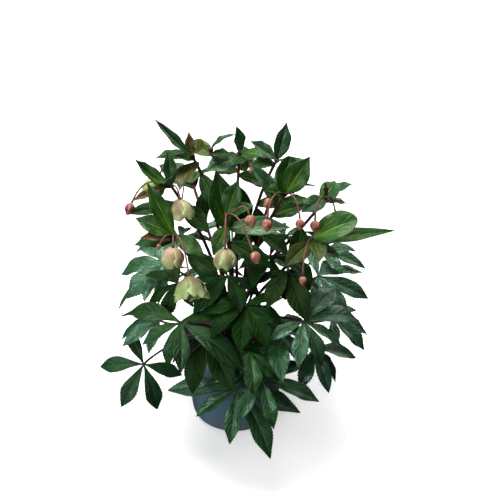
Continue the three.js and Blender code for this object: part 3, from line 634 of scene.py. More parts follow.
# Small bracts low on some flower stems, by number of stem from 0: rows like those in STEMS.
YOUNG_BRACTS = {
    4: [[0.74, -10, 15, 48, 24, 20]],
    6: [[0.84, 0, 25, 52, 26, 20]],
    9: [[0.88, 0, -15, 52, 24, 20], [0.9, 170, 4, 34, 20, 20]],
}
# The leaves in the middle of the plant: fuller blades, and the painted shade tone unless LEAF_TONES gives
# another.
INNER_LEAVES = range(10, 18)
LEAF_TONES = {
    **dict.fromkeys(INNER_LEAVES, INNER_SHADE), 0: (0.14, 0.5, 0, 0.05), 1: (0.45, 0.3, 0, 0.6),
    2: (0.05, 0, 0, 0.4), 3: (0.6, 0.4, 0, 0.3), 4: (0.5, 0.6, 0, 0.15), 5: (0.4, 0.5, 0, 0.5),
    6: (0.35, 0.2, 0, 0.9), 7: TEAL, 8: TEAL, 10: (0.6, 0.2, 0, 0.9), 17: (0.55, 0.9, 0, 0),
}
# How much wider a blade is than its solid, by number of leaf, by number of leaf and angle in its fan where
# a neighbour is near, and by number of stem and bract.
LEAF_FULLNESS = {**dict.fromkeys(INNER_LEAVES, 1.3), 2: 1.12, 3: 0.94, 4: 0.94}
LEAFLET_FULLNESS = {
    (10, -90): 1.04, (11, 0): 0.98, (13, 55): 1.15, (14, 112): 1.1, (14, -112): 1.1, (15, -50): 1,
    (16, 22): 1.05, (16, -22): 1.05, (16, -67): 1.05, (17, -100): 1.15, (17, -50): 1.15,
}
BRACT_FULLNESS = {(0, 0): 0.8, (2, 0): 0.8, (7, 0): 1.2, (8, 1): 0.78, (10, 3): 0.86}
LEAF_MOSTLY, BRACT_MOSTLY, BRACT_INSIDE = 1.04, 1.12, 1.25
# Where the teeth start, how long and deep they are, the side veins, their slant, and the pucker between them.
LEAFLET_LOOK = (0.42, 4.2, 0.6, 7, 0.28, 1)
BRACT_LOOK = (0.5, 4, 0.25, 5, 0.5, 0.7)


def varied(tone, draw, amount=0.16):
    return np.clip(np.asarray(tone) + amount * (np.array([draw() for _ in range(4)]) - 0.5), 0, 1)


# ---- leaves
def leaflets_of(fan):
    if isinstance(fan[0], list):
        return fan
    count, outermost = fan
    shares = [2 * i / (count - 1) - 1 for i in range(count)]
    return [(outermost * share, 1 - (1 - OUTER_LENGTH) * share * share) for share in shares]


def oval(rx, ry):
    """Half an ellipse as a lathe profile, from pole to pole."""
    return [(rx * cos(a), ry * sin(a)) for a in np.linspace(-pi / 2, pi / 2, 7)]


def grow_leaf(solid, number, row, seat):
    azimuth, reach, height, aim_azimuth, aim_elevation, roll, length, fan, *form = row
    form = form[0] if form else LEAFLET
    hub = heading(azimuth, 0) * reach + UP * height
    axis = heading(aim_azimuth, aim_elevation)
    normal = rotated(upright(axis), axis, roll)
    arrive = unit(axis * 0.55 + normal * 0.83)
    curve = grown_stalk(solid, seat, hub, arrive, PETIOLE_R)
    piece = Piece()
    draw = seeded(LEAF_SEED + number)
    tone = varied(LEAF_TONES.get(number, DEEP), draw)
    t = np.linspace(0, 1, 27)
    add_tube(piece, bezier(curve, t), PETIOLE_R * (1 - 0.16 * t), 10, 1, (tone[0], tone[1], 0.5 * draw(), 0))
    hub_form = oval(HUB_R * 0.98, HUB_HALF_HIGH * 0.98)
    add_round(piece, hub_form, 12, 1, (tone[0], tone[1], 0.4, 0), turn_from_up(normal), hub)
    random = seeded(number + 1)
    for angle, share in leaflets_of(fan):
        out = rotated(axis, normal, -(angle + 6 * (random() - 0.5)))
        across = np.cross(out, normal)
        rise = LEAFLET_RISE + 10 * (random() - 0.5) - abs(angle) / 15
        out = rotated(out, across, rise)
        up = rotated(normal, across, rise)
        up = rotated(up, out, LEAFLET_ROLL * np.sign(np.floor(angle / 20 + 0.5)))
        long = length * share * (0.95 + 0.1 * random())
        blade = {
            "form": form, "root": hub, "out": out, "up": up, "length": long,
            "width": long * LEAFLET_SLENDER * (0.92 + 0.16 * random()),
            "bend": LEAFLET_BEND + 24 * (random() - 0.5),
            "twist": 24 * (random() - 0.5),
            "phase": random(),
        }
        blade = grown_blade(solid, blade)
        if blade is not None:
            fuller = LEAF_FULLNESS.get(number, LEAF_MOSTLY)
            fuller = LEAFLET_FULLNESS.get((number, round(angle)), fuller)
            add_blade(piece, blade, varied(tone, draw, 0.1), LEAFLET_LOOK, fuller)
    return piece


# ---- flower stems
def pedicel_curve(joint, seat, direction):
    toward = seat - joint
    rise = heading(azimuth_of(toward), RAMIFY_EL)
    span = max(14, np.linalg.norm(toward))
    return np.array([
        joint + rise * KNOB_R / 2, joint + rise * 0.5 * span, seat - direction * 0.55 * span, seat,
    ])


def grow_stem(solid, number, row, seat):
    top, bracts, flowers = row
    top = np.array(top, float)
    lean = heading(azimuth_of(top), 62)
    curve = grown_stalk(solid, seat, top, lean, STEM_R)
    piece = Piece()
    draw = seeded(STEM_SEED + number)
    t = np.linspace(0, 1, 31)
    stem_tone = (0.3 * draw(), 0.3 * draw(), 0.6 + 0.4 * draw(), 0)
    add_tube(piece, bezier(curve, t), STEM_R * (1.0 - 0.12 * t), 12, 1, stem_tone)
    knob = oval(KNOB_R * 0.8, KNOB_R * 0.9)
    ridges = lambda a, v: 1 + 0.08 * np.cos(5 * a + 6 * v)
    add_round(piece, knob, 14, 1, stem_tone, turn_from_up(lean), top, ridges)
    t = np.linspace(0, 1, 21)
    for _, *flower_seat, azimuth, elevation, _ in flowers:
        line = bezier(pedicel_curve(top, np.array(flower_seat, float), heading(azimuth, elevation)), t)
        add_tube(piece, line, PEDICEL_R * (1 + 0.35 * smooth(t, 0.85, 1)), 9, 2, (draw(), draw(), 0, 0))
    random = seeded(BRACT_SEED + number)
    flat = top - SHADE
    flat[2] = 0
    light = unit(flat) * LIGHT_LEAN + UP

    def bract_blade(share, azimuth, elevation, length, width, bend, roll=0, form=BRACT):
        out = heading(azimuth, elevation)
        up = rotated(unit(light - out * np.dot(out, light)), out, roll)
        root = top if share == 1 else bezier(curve, share)
        reach = (KNOB_R if share == 1 else STEM_R) - SUNK
        return {
            "form": form, "root": root + out * reach, "out": out, "up": up,
            "length": length, "width": width, "bend": bend,
            "twist": 30 * (random() - 0.5),
            "phase": random(),
        }

    tones = BRACT_TONES[number]
    for k, bract_row in enumerate(bracts):
        tone = tones[k] if k < len(tones) else None
        # Bracts low on the stem take the painted shade tone; the rest are DEEP.
        tone = tone or (INNER_SHADE if bract_row[0] < 0.9 else DEEP)
        blade = grown_blade(solid, bract_blade(*bract_row))
        if blade is not None:
            fuller = BRACT_FULLNESS.get((number, k), BRACT_INSIDE if tone is INNER_SHADE else BRACT_MOSTLY)
            add_blade(piece, blade, varied(tone, draw, 0.1), BRACT_LOOK, fuller)
    # The small bracts low on the stems are dark green with painted shade.
    for bract_row in YOUNG_BRACTS.get(number, ()):
        add_blade(piece, bract_blade(*bract_row), varied(YOUNG_SHADE, draw, 0.1), BRACT_LOOK, BRACT_MOSTLY)
    return piece


# ---- flowers
def sepal_place(sepal, u, v, inward, shape):
    """A place on a sepal of a nodding cup along +Z: u runs across, v from the base to the lip."""
    lip, flare, waves, curl = shape
    radius = BLOOM_R * np.sin(pi * (0.05 + 0.7 * v)) ** 0.5 * smooth(v, -0.14, 0.12)
    depth = 1.3 * u * np.minimum(1, 3 * v) - inward
    spread = 50 * np.sin(pi * (0.02 + 0.66 * v)) ** 1.2
    spread = np.maximum(spread, 44 * (1 - smooth(v, 0.3, 0.7)))
    a = np.radians(360 * sepal / SEPALS + spread * u)
    rounded = 1 - 0.26 * np.abs(u) ** 2.6 * v**2
    z = 1.2 * smooth(v, 0, 0.1) + (BLOOM_LONG - 1.2) * v**1.06 * rounded * (1 - curl * smooth(v, 0.4, 1.0))
    wave = waves * np.sin(2.4 * pi * u + 2.1 * sepal + lip) * smooth(v, 0.4, 1)
    keel = 0.3 * np.cos(pi * u) * smooth(v, 0.1, 0.5)
    r = radius + depth + 0.6 * wave + keel + flare * smooth(v, 0.45, 1.0) ** 1.5
    return polar(r, a, z + 0.35 * wave)


def grow_bloom(number, seat, direction, size):
    piece = Piece()
    matrix = turn_from_up(direction) * size
    origin = seat + direction * GAP
    draw = seeded(BLOOM_SEED + number)
    tone = varied(BLOOM_TONES[number], draw, 0.1)
    u = np.linspace(-1, 1, 17)
    v = np.concatenate([np.linspace(0, 0.9, 15), [0.95, 0.985, 1.0]])
    grid_v, grid_u = np.meshgrid(v, u, indexing="ij")
    shape = (6 * draw(), *BLOOM_LIPS[number])
    edge = np.maximum(np.abs(grid_u) ** 10, grid_v**12)
    for sepal in range(SEPALS):
        outer = sepal_place(sepal, grid_u, grid_v, 0.35 * edge, shape)
        inner = sepal_place(sepal, grid_u, grid_v, 0.7 - 0.35 * edge, shape)
        inner[:, [0, -1]] = outer[:, [0, -1]]
        inner[-1] = outer[-1]
        uv = np.stack([(grid_u + 1) / 2, grid_v], axis=-1)
        shade = np.clip(tone + SEPAL_VARIETY * (draw() - 0.5), 0, 1)
        add_sheet(piece, outer @ matrix.T + origin, inner @ matrix.T + origin, uv, shade)
    boss = [(0, 0.5), (1.5, 0.8), (2.6, 1.7), (2.9, 2.9), (2.0, 3.8), (0, 4.2)]
    add_round(piece, boss, 15, 1, (0.2, 0.2, 0, 0), matrix, origin)
    for k in range(STAMENS):
        away = heading(k * GOLDEN_ANGLE, 0)
        spread = sqrt((k + 0.5) / STAMENS)
        foot = away * 2.2 * spread + UP * 3.2
        end = away * 6.2 * spread + UP * (STAMENS_LONG - 3.5 - 2.5 * spread + 2 * draw())
        bend = (foot + end) / 2 + away * 1.2
        line = bezier(np.array([foot, bend, bend, end]), np.linspace(0, 1, 5)) @ matrix.T + origin
        add_tube(piece, line, np.full(5, 0.26 * size), 5, 1, (0.9, 0.5, 0, 0))
        anther = [(0, -1.1), (0.65, -0.5), (0.7, 0.3), (0, 1.1)]
        tilt = turn_from_up(unit(line[-1] - line[-2])) * size
        add_round(piece, anther, 6, 1, (1.0, 1.0, 0, 0), tilt, line[-1])
    return piece


def grow_bud(number, seat, direction, size):
    piece = Piece()
    matrix = turn_from_up(direction) * size
    draw = seeded(BUD_SEED + number)
    v = np.linspace(0, 1, 17)
    profile = np.sin(pi * v**0.78) ** 0.66 * (1 - 0.12 * smooth(v, 0.5, 1.0))
    profile[0] = profile[-1] = 0
    swirl = 1.4 * draw()

    def ridge(a, share):
        fold = np.cos(5 * a + swirl * share * 3)
        seam = np.abs(np.sin(2.5 * a + 1.5 * swirl * share)) ** 0.35
        return 0.95 + 0.05 * fold + 0.06 * (seam - 0.8) * smooth(share, 0.05, 0.3)

    profile = np.stack([profile * BUD_R * 1.1, v * BUD_LONG * 1.08], axis=-1)
    add_round(piece, profile, 40, 0, varied(BUD_TONES[number], draw), matrix, seat + direction * GAP, ridge)
    return piece


# ---- pot and compost
def arc(cx, cz, r, start, end, count):
    return [(cx + r * cos(a), cz + r * sin(a)) for a in np.radians(np.linspace(start, end, count))]


def inner_r(z):
    return POT_BASE_R + (POT_TOP_R - POT_BASE_R) * z / POT_HEIGHT - POT_WALL


def make_pot():
    """One moulded wall: a rounded foot and a rolled rim with an open underside. drain() cuts the drain holes.
    """
    edge = POT_EDGE_R
    t = np.linspace(0, 1, 9)[:, None]
    turn = 2 * t * (1 - t) * [POT_BASE_R, 0]
    foot = (1 - t) ** 2 * [POT_BASE_R - edge, 0] + turn + t * t * [POT_BASE_R + 1, edge]
    rim = POT_TOP_R + RIM_OUT
    low = POT_HEIGHT - RIM_DEEP
    profile = [
        (0.001, 0), *foot.tolist(),
        (POT_TOP_R - 1.4, low - 3), (POT_TOP_R - 1.05, low - 0.6), (POT_TOP_R - 0.6, low),
        *arc(rim - 0.8, low + 1.4, 0.8, -80, 0, 4),
        *arc(rim - 1.3, POT_HEIGHT - 1.3, 1.3, 0, 90, 6),
        *arc(POT_TOP_R - POT_WALL + 1, POT_HEIGHT - 1, 1, 90, 180, 5),
        (inner_r(edge), edge), (inner_r(edge) - 2.6, POT_FLOOR + 1.6), (POT_BASE_R - edge, POT_FLOOR),
        (0.001, POT_FLOOR),
    ]
    profile = np.array(profile)
    steps = np.concatenate([[0], np.cumsum(np.linalg.norm(np.diff(profile, axis=0), axis=1))])
    a = around(144)
    piece = Piece()
    piece.add_lathed(polar(profile[:, :1], a, profile[:, 1:]), round_uv(steps / steps[-1], a))
    return piece


def drain(pot):
    """Cuts the drain holes through the floor."""
    for k in range(DRAINS):
        place = heading(360 * k / DRAINS, 0) * DRAIN_RING_R * MM
        bpy.ops.mesh.primitive_cylinder_add(
            vertices=32, radius=DRAIN_R * MM, depth=4 * POT_FLOOR * MM, location=(place[0], place[1], 0)
        )
        drill = bpy.context.object
        cut = pot.modifiers.new("drain", "BOOLEAN")
        cut.object = drill
        cut.operation = "DIFFERENCE"
        cut.solver = "EXACT"
        bpy.context.view_layer.objects.active = pot
        with bpy.context.temp_override(object=pot, active_object=pot, selected_objects=[pot]):
            bpy.ops.object.modifier_apply(modifier="drain")
        bpy.data.objects.remove(drill)


def make_soil():
    """Peat with bark chips and a few grains of perlite, loose and uneven on top."""
    piece = Piece()
    a = around(96)
    wall = inner_r(SOIL_TOP) - 0.8
    radii = np.concatenate([np.linspace(wall, 2, 30), [0.001]])
    r = radii[:, None] * np.ones(len(a))
    flat = polar(r, a, 0 * r)
    rough = wobble(flat, 0.35, 11) + 0.7 * wobble(flat, 1.3, 12)
    z = SOIL_TOP + SOIL_MOUND * (1 - smooth(r, CROWN_R, wall)) + 0.9 * rough * smooth(wall - r, 0, 4)
    z[-1] = z[-1].mean()
    under = np.array([
        (0.001, POT_FLOOR + GAP), (POT_BASE_R - POT_EDGE_R - 1, POT_FLOOR + GAP),
        (inner_r(POT_EDGE_R) - 1, POT_EDGE_R + 1), (inner_r(60) - 0.9, 60),
    ])
    grid = np.concatenate([polar(under[:, :1], a, under[:, 1:]), polar(r, a, z)])
    piece.add_lathed(grid, grid[..., :2] / 160 + 0.5)
    draw = np.random.default_rng(21)
    for k in range(CRUMBS):
        pale = k % 30 == 0
        angle, reach = draw.uniform(0, tau), (wall - 5) * sqrt(draw.uniform())
        long = draw.uniform(1.0, 1.7) if pale else draw.uniform(1.2, 3.6)
        stretch = np.diag([1, draw.uniform(0.5, 0.9), draw.uniform(0.35, 0.7)]) * long
        tilt = turn_from_up(unit(draw.normal(size=3)))
        height = SOIL_TOP + SOIL_MOUND * (1 - float(smooth(reach, CROWN_R, wall)))
        place = np.array([reach * cos(angle), reach * sin(angle), height + 0.25 * long])
        bumps = draw.uniform(0.75, 1.15, size=(3, 6))
        lump = [(0, -1), (0.8, -0.55), (1.0, 0.05), (0.75, 0.6), (0, 0.95)]
        tone = (draw.uniform(), float(pale), 0, 1)
        add_round(piece, lump, 6, 0, tone, tilt @ stretch, place, lambda a, v, b=bumps: b)
    return piece


# ---- materials
def worked_out(operation, swapped=False):
    """A method of Value that adds one kind of Math node."""

    def method(self, other=0.0):
        return self.shade.math(operation, *((other, self) if swapped else (self, other)))

    return method


class Value:
    """A number or a colour that a material's nodes give. Arithmetic on it adds the nodes that work it out."""

    __add__, __radd__ = worked_out("ADD"), worked_out("ADD", swapped=True)
    __sub__, __rsub__ = worked_out("SUBTRACT"), worked_out("SUBTRACT", swapped=True)
    __mul__, __truediv__ = worked_out("MULTIPLY"), worked_out("DIVIDE")
    __pow__, __abs__ = worked_out("POWER"), worked_out("ABSOLUTE")

    def __init__(self, shade, socket):
        self.shade, self.socket = shade, socket

    def step(self, low, high, to_low=0.0, to_high=1.0):
        """A smooth step: to_low where the value is under low, to_high where it is over high."""
        inputs = {"Value": self, "From Min": low, "From Max": high, "To Min": to_low, "To Max": to_high}
        return self.shade.value("MapRange", inputs, "Result", interpolation_type="SMOOTHSTEP")

    def lines(self, width):
        """1 on whole values, falling to 0 at `width` to either side."""
        part = self.shade.math("FRACT", self)
        return self.shade.math("MINIMUM", part, 1.0 - part).step(0.0, width, 1.0, 0.0)


class Shade:
    """A node material: a principled shader with short ways to add nodes in front of it."""

    def __init__(self, name, **values):
        self.material = bpy.data.materials.new(name)
        self.material.use_nodes = True
        self.tree = self.material.node_tree
        self.shader = self.tree.nodes["Principled BSDF"]
        self.coordinates = self.node("TexCoord")
        self.place = Value(self, self.coordinates.outputs["Object"])
        for key, value in values.items():
            self.set(key.replace("_", " "), value)

    def set(self, name, value):
        self.put(self.shader.inputs[name], value)

    def put(self, socket, value):
        if isinstance(value, Value):
            self.tree.links.new(value.socket, socket)
        elif isinstance(value, tuple) and socket.type == "RGBA":
            socket.default_value = (*value, 1.0)
        else:
            socket.default_value = value

    def node(self, kind, inputs=(), **settings):
        made = self.tree.nodes.new("ShaderNode" + kind)
        for key, value in settings.items():
            setattr(made, key, value)
        for socket, value in dict(inputs).items():
            self.put(made.inputs[socket], value)
        return made

    def value(self, kind, inputs, output=0, **settings):
        return Value(self, self.node(kind, inputs, **settings).outputs[output])

    def math(self, operation, a, b=0.0, clamp=False):
        return self.value("Math", {0: a, 1: b}, operation=operation, use_clamp=clamp)

    def mix(self, factor, a, b):
        made = self.node("Mix", data_type="RGBA")
        for socket, value in ((0, factor), (6, a), (7, b)):
            self.put(made.inputs[socket], value)
        return Value(self, made.outputs[2])

    def layers(self, colour, *coats):
        """A colour with others laid over it in turn, each as (how much of it, colour)."""
        for factor, coat in coats:
            colour = self.mix(factor, colour, coat)
        return colour

    def vector(self, x, y, z):
        return self.value("CombineXYZ", {0: x, 1: y, 2: z})

    def noise(self, scale, detail=3.0, roughness=0.5, place=None):
        inputs = {"Scale": scale, "Detail": detail, "Roughness": roughness, "Vector": place or self.place}
        return self.value("TexNoise", inputs, "Fac")

    def cells(self, scale, **settings):
        return self.value("TexVoronoi", {"Scale": scale, "Vector": self.place}, "Distance", **settings)

    def axes(self, vector):
        split = self.node("SeparateXYZ", {0: vector})
        return [Value(self, socket) for socket in split.outputs]

    def uv(self):
        """(u, v) of the surface as two numbers."""
        return self.axes(Value(self, self.coordinates.outputs["UV"]))[:2]

    def tone(self):
        """The four numbers of the piece's tone."""
        read = self.node("Attribute", attribute_name="tone")
        split = self.node("SeparateColor", {0: Value(self, read.outputs["Color"])})
        return [Value(self, socket) for socket in (*split.outputs[:3], read.outputs["Alpha"])]

    def finish(self, color, roughness, height=None, strength=0.0, distance=0.0):
        """The material, with its colour and roughness, and with bumps where they have a height."""
        self.set("Base Color", color)
        self.set("Roughness", roughness)
        if height is not None:
            bump = {"Height": height, "Strength": strength, "Distance": distance}
            self.set("Normal", self.value("Bump", bump, "Normal"))
        return self.material


def blade_material(name, colours, veins, slant, rib_low, rib_more, sheen, tint):
    """Green blades: midrib, side veins and a net between them, lighter margin, paler underside."""
    shade = Shade(name, Specular_Tint=tint)
    along, y = shade.uv()
    light, fresh, brown, teal = shade.tone()
    under = shade.value("Attribute", {}, "Fac", attribute_name="under")
    out = abs(y * 2.0 - 1.0)
    vein_at = (along - out**0.85 * slant) * veins + (shade.noise(90.0, 2.0) - 0.5) * 0.3
    side_veins = vein_at.lines(0.11) * out.step(0.98, 0.6)
    rib_width = 0.035 + (1.0 - along) * 0.06
    midrib = shade.math("SUBTRACT", 1.0, out / rib_width, clamp=True).step(0.0, 0.7)
    # Three veins leave the root of a bract together and run beside the midrib.
    basal = abs(out - (along * 1.6) ** 0.6 * 0.55).step(0.035, 0.0) * along.step(0.65, 0.4)
    ribs = shade.math("MAXIMUM", midrib * along.step(0.95, 0.5), basal)
    net = shade.cells(420.0, feature="DISTANCE_TO_EDGE").step(0.0, 0.12, 1.0, 0.0)
    blotch = shade.noise(55.0, 4.0, 0.6).step(0.35, 0.7)
    fine = shade.noise(600.0)
    quilt = shade.noise(110.0, 2.0)

    # A low light value darkens the green and fades its blotches; on the blades in the plant's middle this is
    # painted shade.
    green = shade.layers(
        shade.mix(light, colours["dark"], colours["mid"]),
        (blotch * (0.12 + light * 0.6), colours["blotch"]),
        (along.step(0.75, 0.02) * fresh * out.step(0.9, 0.05) * 0.85, colours["fresh"]),
        (teal * 0.75, colours["teal"]),
        (
            brown * shade.noise(70.0).step(0.2, 0.55, 0.65, 1.0),
            shade.mix(blotch, colours["brown"], colours["rust"]),
        ),
        (side_veins * 0.3, colours["vein"]),
        (ribs * (rib_low + fresh * rib_more), colours["rib"]),
        (out.step(0.93, 1.0) * 0.5, colours["vein"]),
        (fine * 0.1, colours["mid"]),
    )
    below = shade.layers(
        colours["below"], (side_veins * 0.5 + midrib * 0.5, colours["rib"]), (brown * 0.7, colours["brown"])
    )
    # Dark blades carry painted shade, that of the plant's shaded middle, and are dull. The wax of the
    # blue-grey ones shines.
    shade.set("Specular IOR Level", light.step(0.0, 0.25, *sheen) + teal * 0.35)
    ridges = side_veins * -0.8 + net * -0.25 + fine * 0.35 + quilt * 2.5
    return shade.finish(
        shade.mix(under, green, below), blotch.step(0.0, 1.0, 0.22, 0.36) + under * 0.18,
        ridges * under.step(0.4, 0.6, 1.0, -1.0), 0.7, 0.0006,
    )


def stalk_material(name, dark, light, tip, roughness=0.4):
    """Stalks: streaks along their length, from `dark` through `light`, with `tip` towards the far end."""
    shade = Shade(name)
    along, around = shade.uv()
    tone, _, red, _ = shade.tone()
    streaks = shade.noise(3.0, 4.0, 0.6, shade.vector(along * 4.0, around * 9.0, tone))
    speck = shade.noise(900.0, 2.0)
    colour = shade.layers(
        shade.mix(streaks.step(0.35, 0.7), dark, light),
        (along.step(0.25, 1.0) * red.step(0.0, 1.0, 0.35, 0.9), tip),
        (speck.step(0.6, 0.72, 0.0, 0.35), dark),
    )
    rough = speck.step(0.2, 0.8, roughness, roughness + 0.15)
    return shade.finish(colour, rough, streaks + speck * 0.4, 0.35, 0.0005)


def sepal_material():
    """Sepals: yellow-green at the lip, blushed mauve-pink towards the stalk, with fine veins along them."""
    shade = Shade("sepal", Specular_IOR_Level=0.35, Subsurface_Weight=0.12, Subsurface_Scale=0.002)
    y, along = shade.uv()
    light, blush, mauve, band = shade.tone()
    across = y * 2.0 - 1.0
    out = abs(across)
    cloud = shade.noise(70.0, 4.0, 0.55)
    fan = across * (2.6 + shade.noise(120.0) * 1.6)
    veins = fan.lines(0.2) * along.step(1.0, 0.5) * cloud.step(0.35, 0.6)
    reach = along + (cloud - 0.5) * 0.7 - blush * 0.75
    flush = reach.step(0.16, -0.2) * out.step(1.05, 0.55, 0.3, 1.0)
    middle = (out + (cloud - 0.5) * 0.9).step(0.8, 0.2) * along.step(0.95, 0.5)
    flush = shade.math("MAXIMUM", flush, middle * band)
    lip = shade.math("MAXIMUM", out.step(0.8, 1.0) * along.step(0.3, 0.8), along.step(0.8, 1.0))
    colour = shade.layers(
        shade.mix(light, (0.14, 0.23, 0.07), (0.62, 0.72, 0.32)),
        (cloud.step(0.35, 0.7, 0.0, 0.45), (0.28, 0.42, 0.12)),
        (flush * 0.85, shade.mix(mauve, (0.52, 0.27, 0.2), (0.14, 0.07, 0.058))),
        (veins * mauve.step(0.0, 1.0, 0.3, 0.75), (0.15, 0.1, 0.05)),
        (lip * 0.6, (0.78, 0.84, 0.42)),
        (shade.noise(260.0).step(0.5, 0.7, 0.0, 0.3), (0.3, 0.2, 0.1)),
    )
    return shade.finish(colour, cloud.step(0.3, 0.7, 0.45, 0.6), veins * -0.5 + cloud * 0.5, 0.35, 0.0006)


def bud_material():
    """Buds: rose to salmon with paler streaks from the tip and a green cast at the stalk."""
    shade = Shade("bud", Specular_IOR_Level=0.4, Subsurface_Weight=0.1, Subsurface_Scale=0.0015)
    along, around = shade.uv()
    rose, pale, cream, _ = shade.tone()
    streaks = shade.noise(2.4, 2.0, 0.6, shade.vector(along, around * 4.0, rose))
    cloud = shade.noise(150.0)
    colour = shade.layers(
        shade.mix(rose, (0.37, 0.1, 0.085), (0.24, 0.04, 0.055)),
        (streaks.step(0.52, 0.6, 0.0, 0.8), (0.5, 0.3, 0.16)),
        (streaks.step(0.47, 0.4, 0.0, 0.8), (0.17, 0.035, 0.035)),
        (along.step(0.45, 1.05) * pale, (0.6, 0.45, 0.26)),
        (along.step(0.3, 0.0) * cream, (0.3, 0.3, 0.11)),
    )
    return shade.finish(colour, cloud.step(0.3, 0.7, 0.42, 0.58), streaks + cloud * 0.3, 0.4, 0.0005)


def stamen_material():
    shade = Shade("stamen")
    speck = shade.noise(900.0)
    colour = shade.layers(
        shade.mix(shade.tone()[1], (0.5, 0.56, 0.22), (0.8, 0.66, 0.22)),
        (speck.step(0.4, 0.65, 0.0, 0.5), (0.86, 0.82, 0.5)),
    )
    return shade.finish(colour, speck.step(0.2, 0.8, 0.6, 0.8), speck, 0.4, 0.0003)


def pot_material():
    """Slate-blue injection-moulded plastic: a fine satin grain, faint flow marks, scuffs and dust."""
    shade = Shade("pot_plastic", Specular_IOR_Level=0.45)
    x, y, z = shade.axes(shade.place)
    flow = shade.noise(14.0, 5.0, 0.55)
    streaks = shade.noise(160.0, 3.0, 0.5, shade.vector(x, y, z * 0.08))
    scuff = shade.noise(75.0, 6.0, 0.7).step(0.62, 0.78)
    colour = shade.layers(
        shade.mix(flow.step(0.3, 0.7), (0.098, 0.168, 0.222), (0.125, 0.205, 0.268)),
        (streaks.step(0.45, 0.75) * 0.16, (0.18, 0.245, 0.31)),
        (scuff * 0.22, (0.16, 0.2, 0.23)),
        (z.step(0.03, 0.0, 0.0, 0.25) * flow.step(0.3, 0.7), (0.2, 0.18, 0.15)),
    )
    rough = flow.step(0.3, 0.7, 0.4, 0.5) + scuff * 0.2
    return shade.finish(colour, rough, shade.noise(1800.0, 2.0) + scuff * 0.5, 0.2, 0.0003)


def compost_material():
    """Moist peat: dark brown fibres and crumbs, lighter bark chips and grains of perlite by their tone."""
    shade = Shade("compost")
    light, perlite, _, chip = shade.tone()
    crumb = shade.noise(260.0, 6.0, 0.7)
    bark = shade.layers(
        shade.mix(light, (0.035, 0.018, 0.011), (0.11, 0.058, 0.032)),
        (crumb.step(0.4, 0.7, 0.0, 0.6), (0.06, 0.034, 0.022)),
    )
    colour = shade.layers(
        shade.mix(crumb.step(0.35, 0.7), (0.012, 0.008, 0.006), (0.05, 0.03, 0.019)),
        (chip, bark),
        (perlite, shade.mix(crumb, (0.5, 0.47, 0.42), (0.72, 0.7, 0.66))),
    )
    return shade.finish(colour, crumb.step(0.3, 0.7, 0.8, 0.97), crumb + shade.cells(520.0), 0.8, 0.0015)


def floor_material():
    shade = Shade("floor_paper", Specular_IOR_Level=0.1, Emission_Color=(1.0, 1.0, 1.0))
    # The paper glows, 0.3 under the plant rising to 0.9 towards the far edge and the tent: painted light that
    # lightens the plant's shadow and keeps the far floor white.
    away = shade.value("VectorMath", {0: shade.place}, "Value", operation="LENGTH")
    shade.set("Emission Strength", away.step(0.6, 3.0, 0.3, 0.9))
    lighter = tuple(c * 1.006 for c in FLOOR_COLOUR)
    colour = shade.mix(shade.noise(3.0).step(0.3, 0.7), FLOOR_COLOUR, lighter)
    return shade.finish(colour, shade.noise(200.0, 2.0).step(0.3, 0.7, 0.85, 0.95))


# ---- the plant
# Tones of the flowers: (light, blush, mauve, band down each sepal) for blooms, and for buds (rose, pale tip,
# green at the stalk, unused).
BLOOM_TONES = [
    (0.6, 0.3, 0.4, 0.2), (0.9, 0.3, 0.7, 1.0), (0.85, 0.75, 0.3, 0.3), (0.1, 0.3, 1.0, 0.1),
    (0.85, 0.35, 0.9, 0.9), (0.5, 0.6, 0.6, 0.5), (0.6, 0.7, 0.3, 0.2), (0.5, 0.4, 0.6, 0.7),
]
BUD_TONES = [
    (1.0, 0.1, 0.1, 0), (0.2, 0.4, 0.3, 0), (0.1, 0.5, 0.5, 0), (0.25, 0.7, 0.3, 0),
    (0.2, 0.3, 0.4, 0), (0.15, 0.5, 0.3, 0), (0.2, 0.3, 0.5, 0), (0.45, 0.4, 0.2, 0),
    (0.8, 0.1, 0.2, 0), (0.4, 0.2, 0.3, 0), (0.3, 0.4, 0.5, 0), (0.5, 0.3, 0.3, 0),
]
# How far each bloom's lip flares in mm, how wavy it is, and the share by which its curl shortens the cup.
BLOOM_LIPS = [
    (0.6, 0.9, 0.0), (1.6, 1.1, 0.06), (-0.8, 0.6, 0.0), (3.2, 3.0, 0.17), (0.2, 0.8, 0.04),
    (0.4, 1.0, 0.0), (1.5, 1.3, 0.05), (0.6, 1.0, 0.0),
]
SEPAL_VARIETY = np.array([0.3, 0.5, 0.3, 0.9])
STAMENS = 34
CRUMBS = 420
FLOOR_COLOUR = (0.95, 0.95, 0.95)

LEAF_COLOURS = {
    "dark": (0.004, 0.022, 0.003), "mid": (0.014, 0.076, 0.01), "blotch": (0.025, 0.112, 0.017),
    "fresh": (0.05, 0.15, 0.012), "teal": (0.02, 0.072, 0.037), "brown": (0.05, 0.016, 0.01),
    "rust": (0.11, 0.035, 0.012), "vein": (0.05, 0.12, 0.04), "rib": (0.13, 0.22, 0.07),
    "below": (0.13, 0.21, 0.14),
}
BRACT_COLOURS = {
    **LEAF_COLOURS, "mid": (0.016, 0.085, 0.004), "fresh": (0.08, 0.22, 0.005), "rib": (0.2, 0.34, 0.05),
    "below": (0.15, 0.25, 0.16),
}

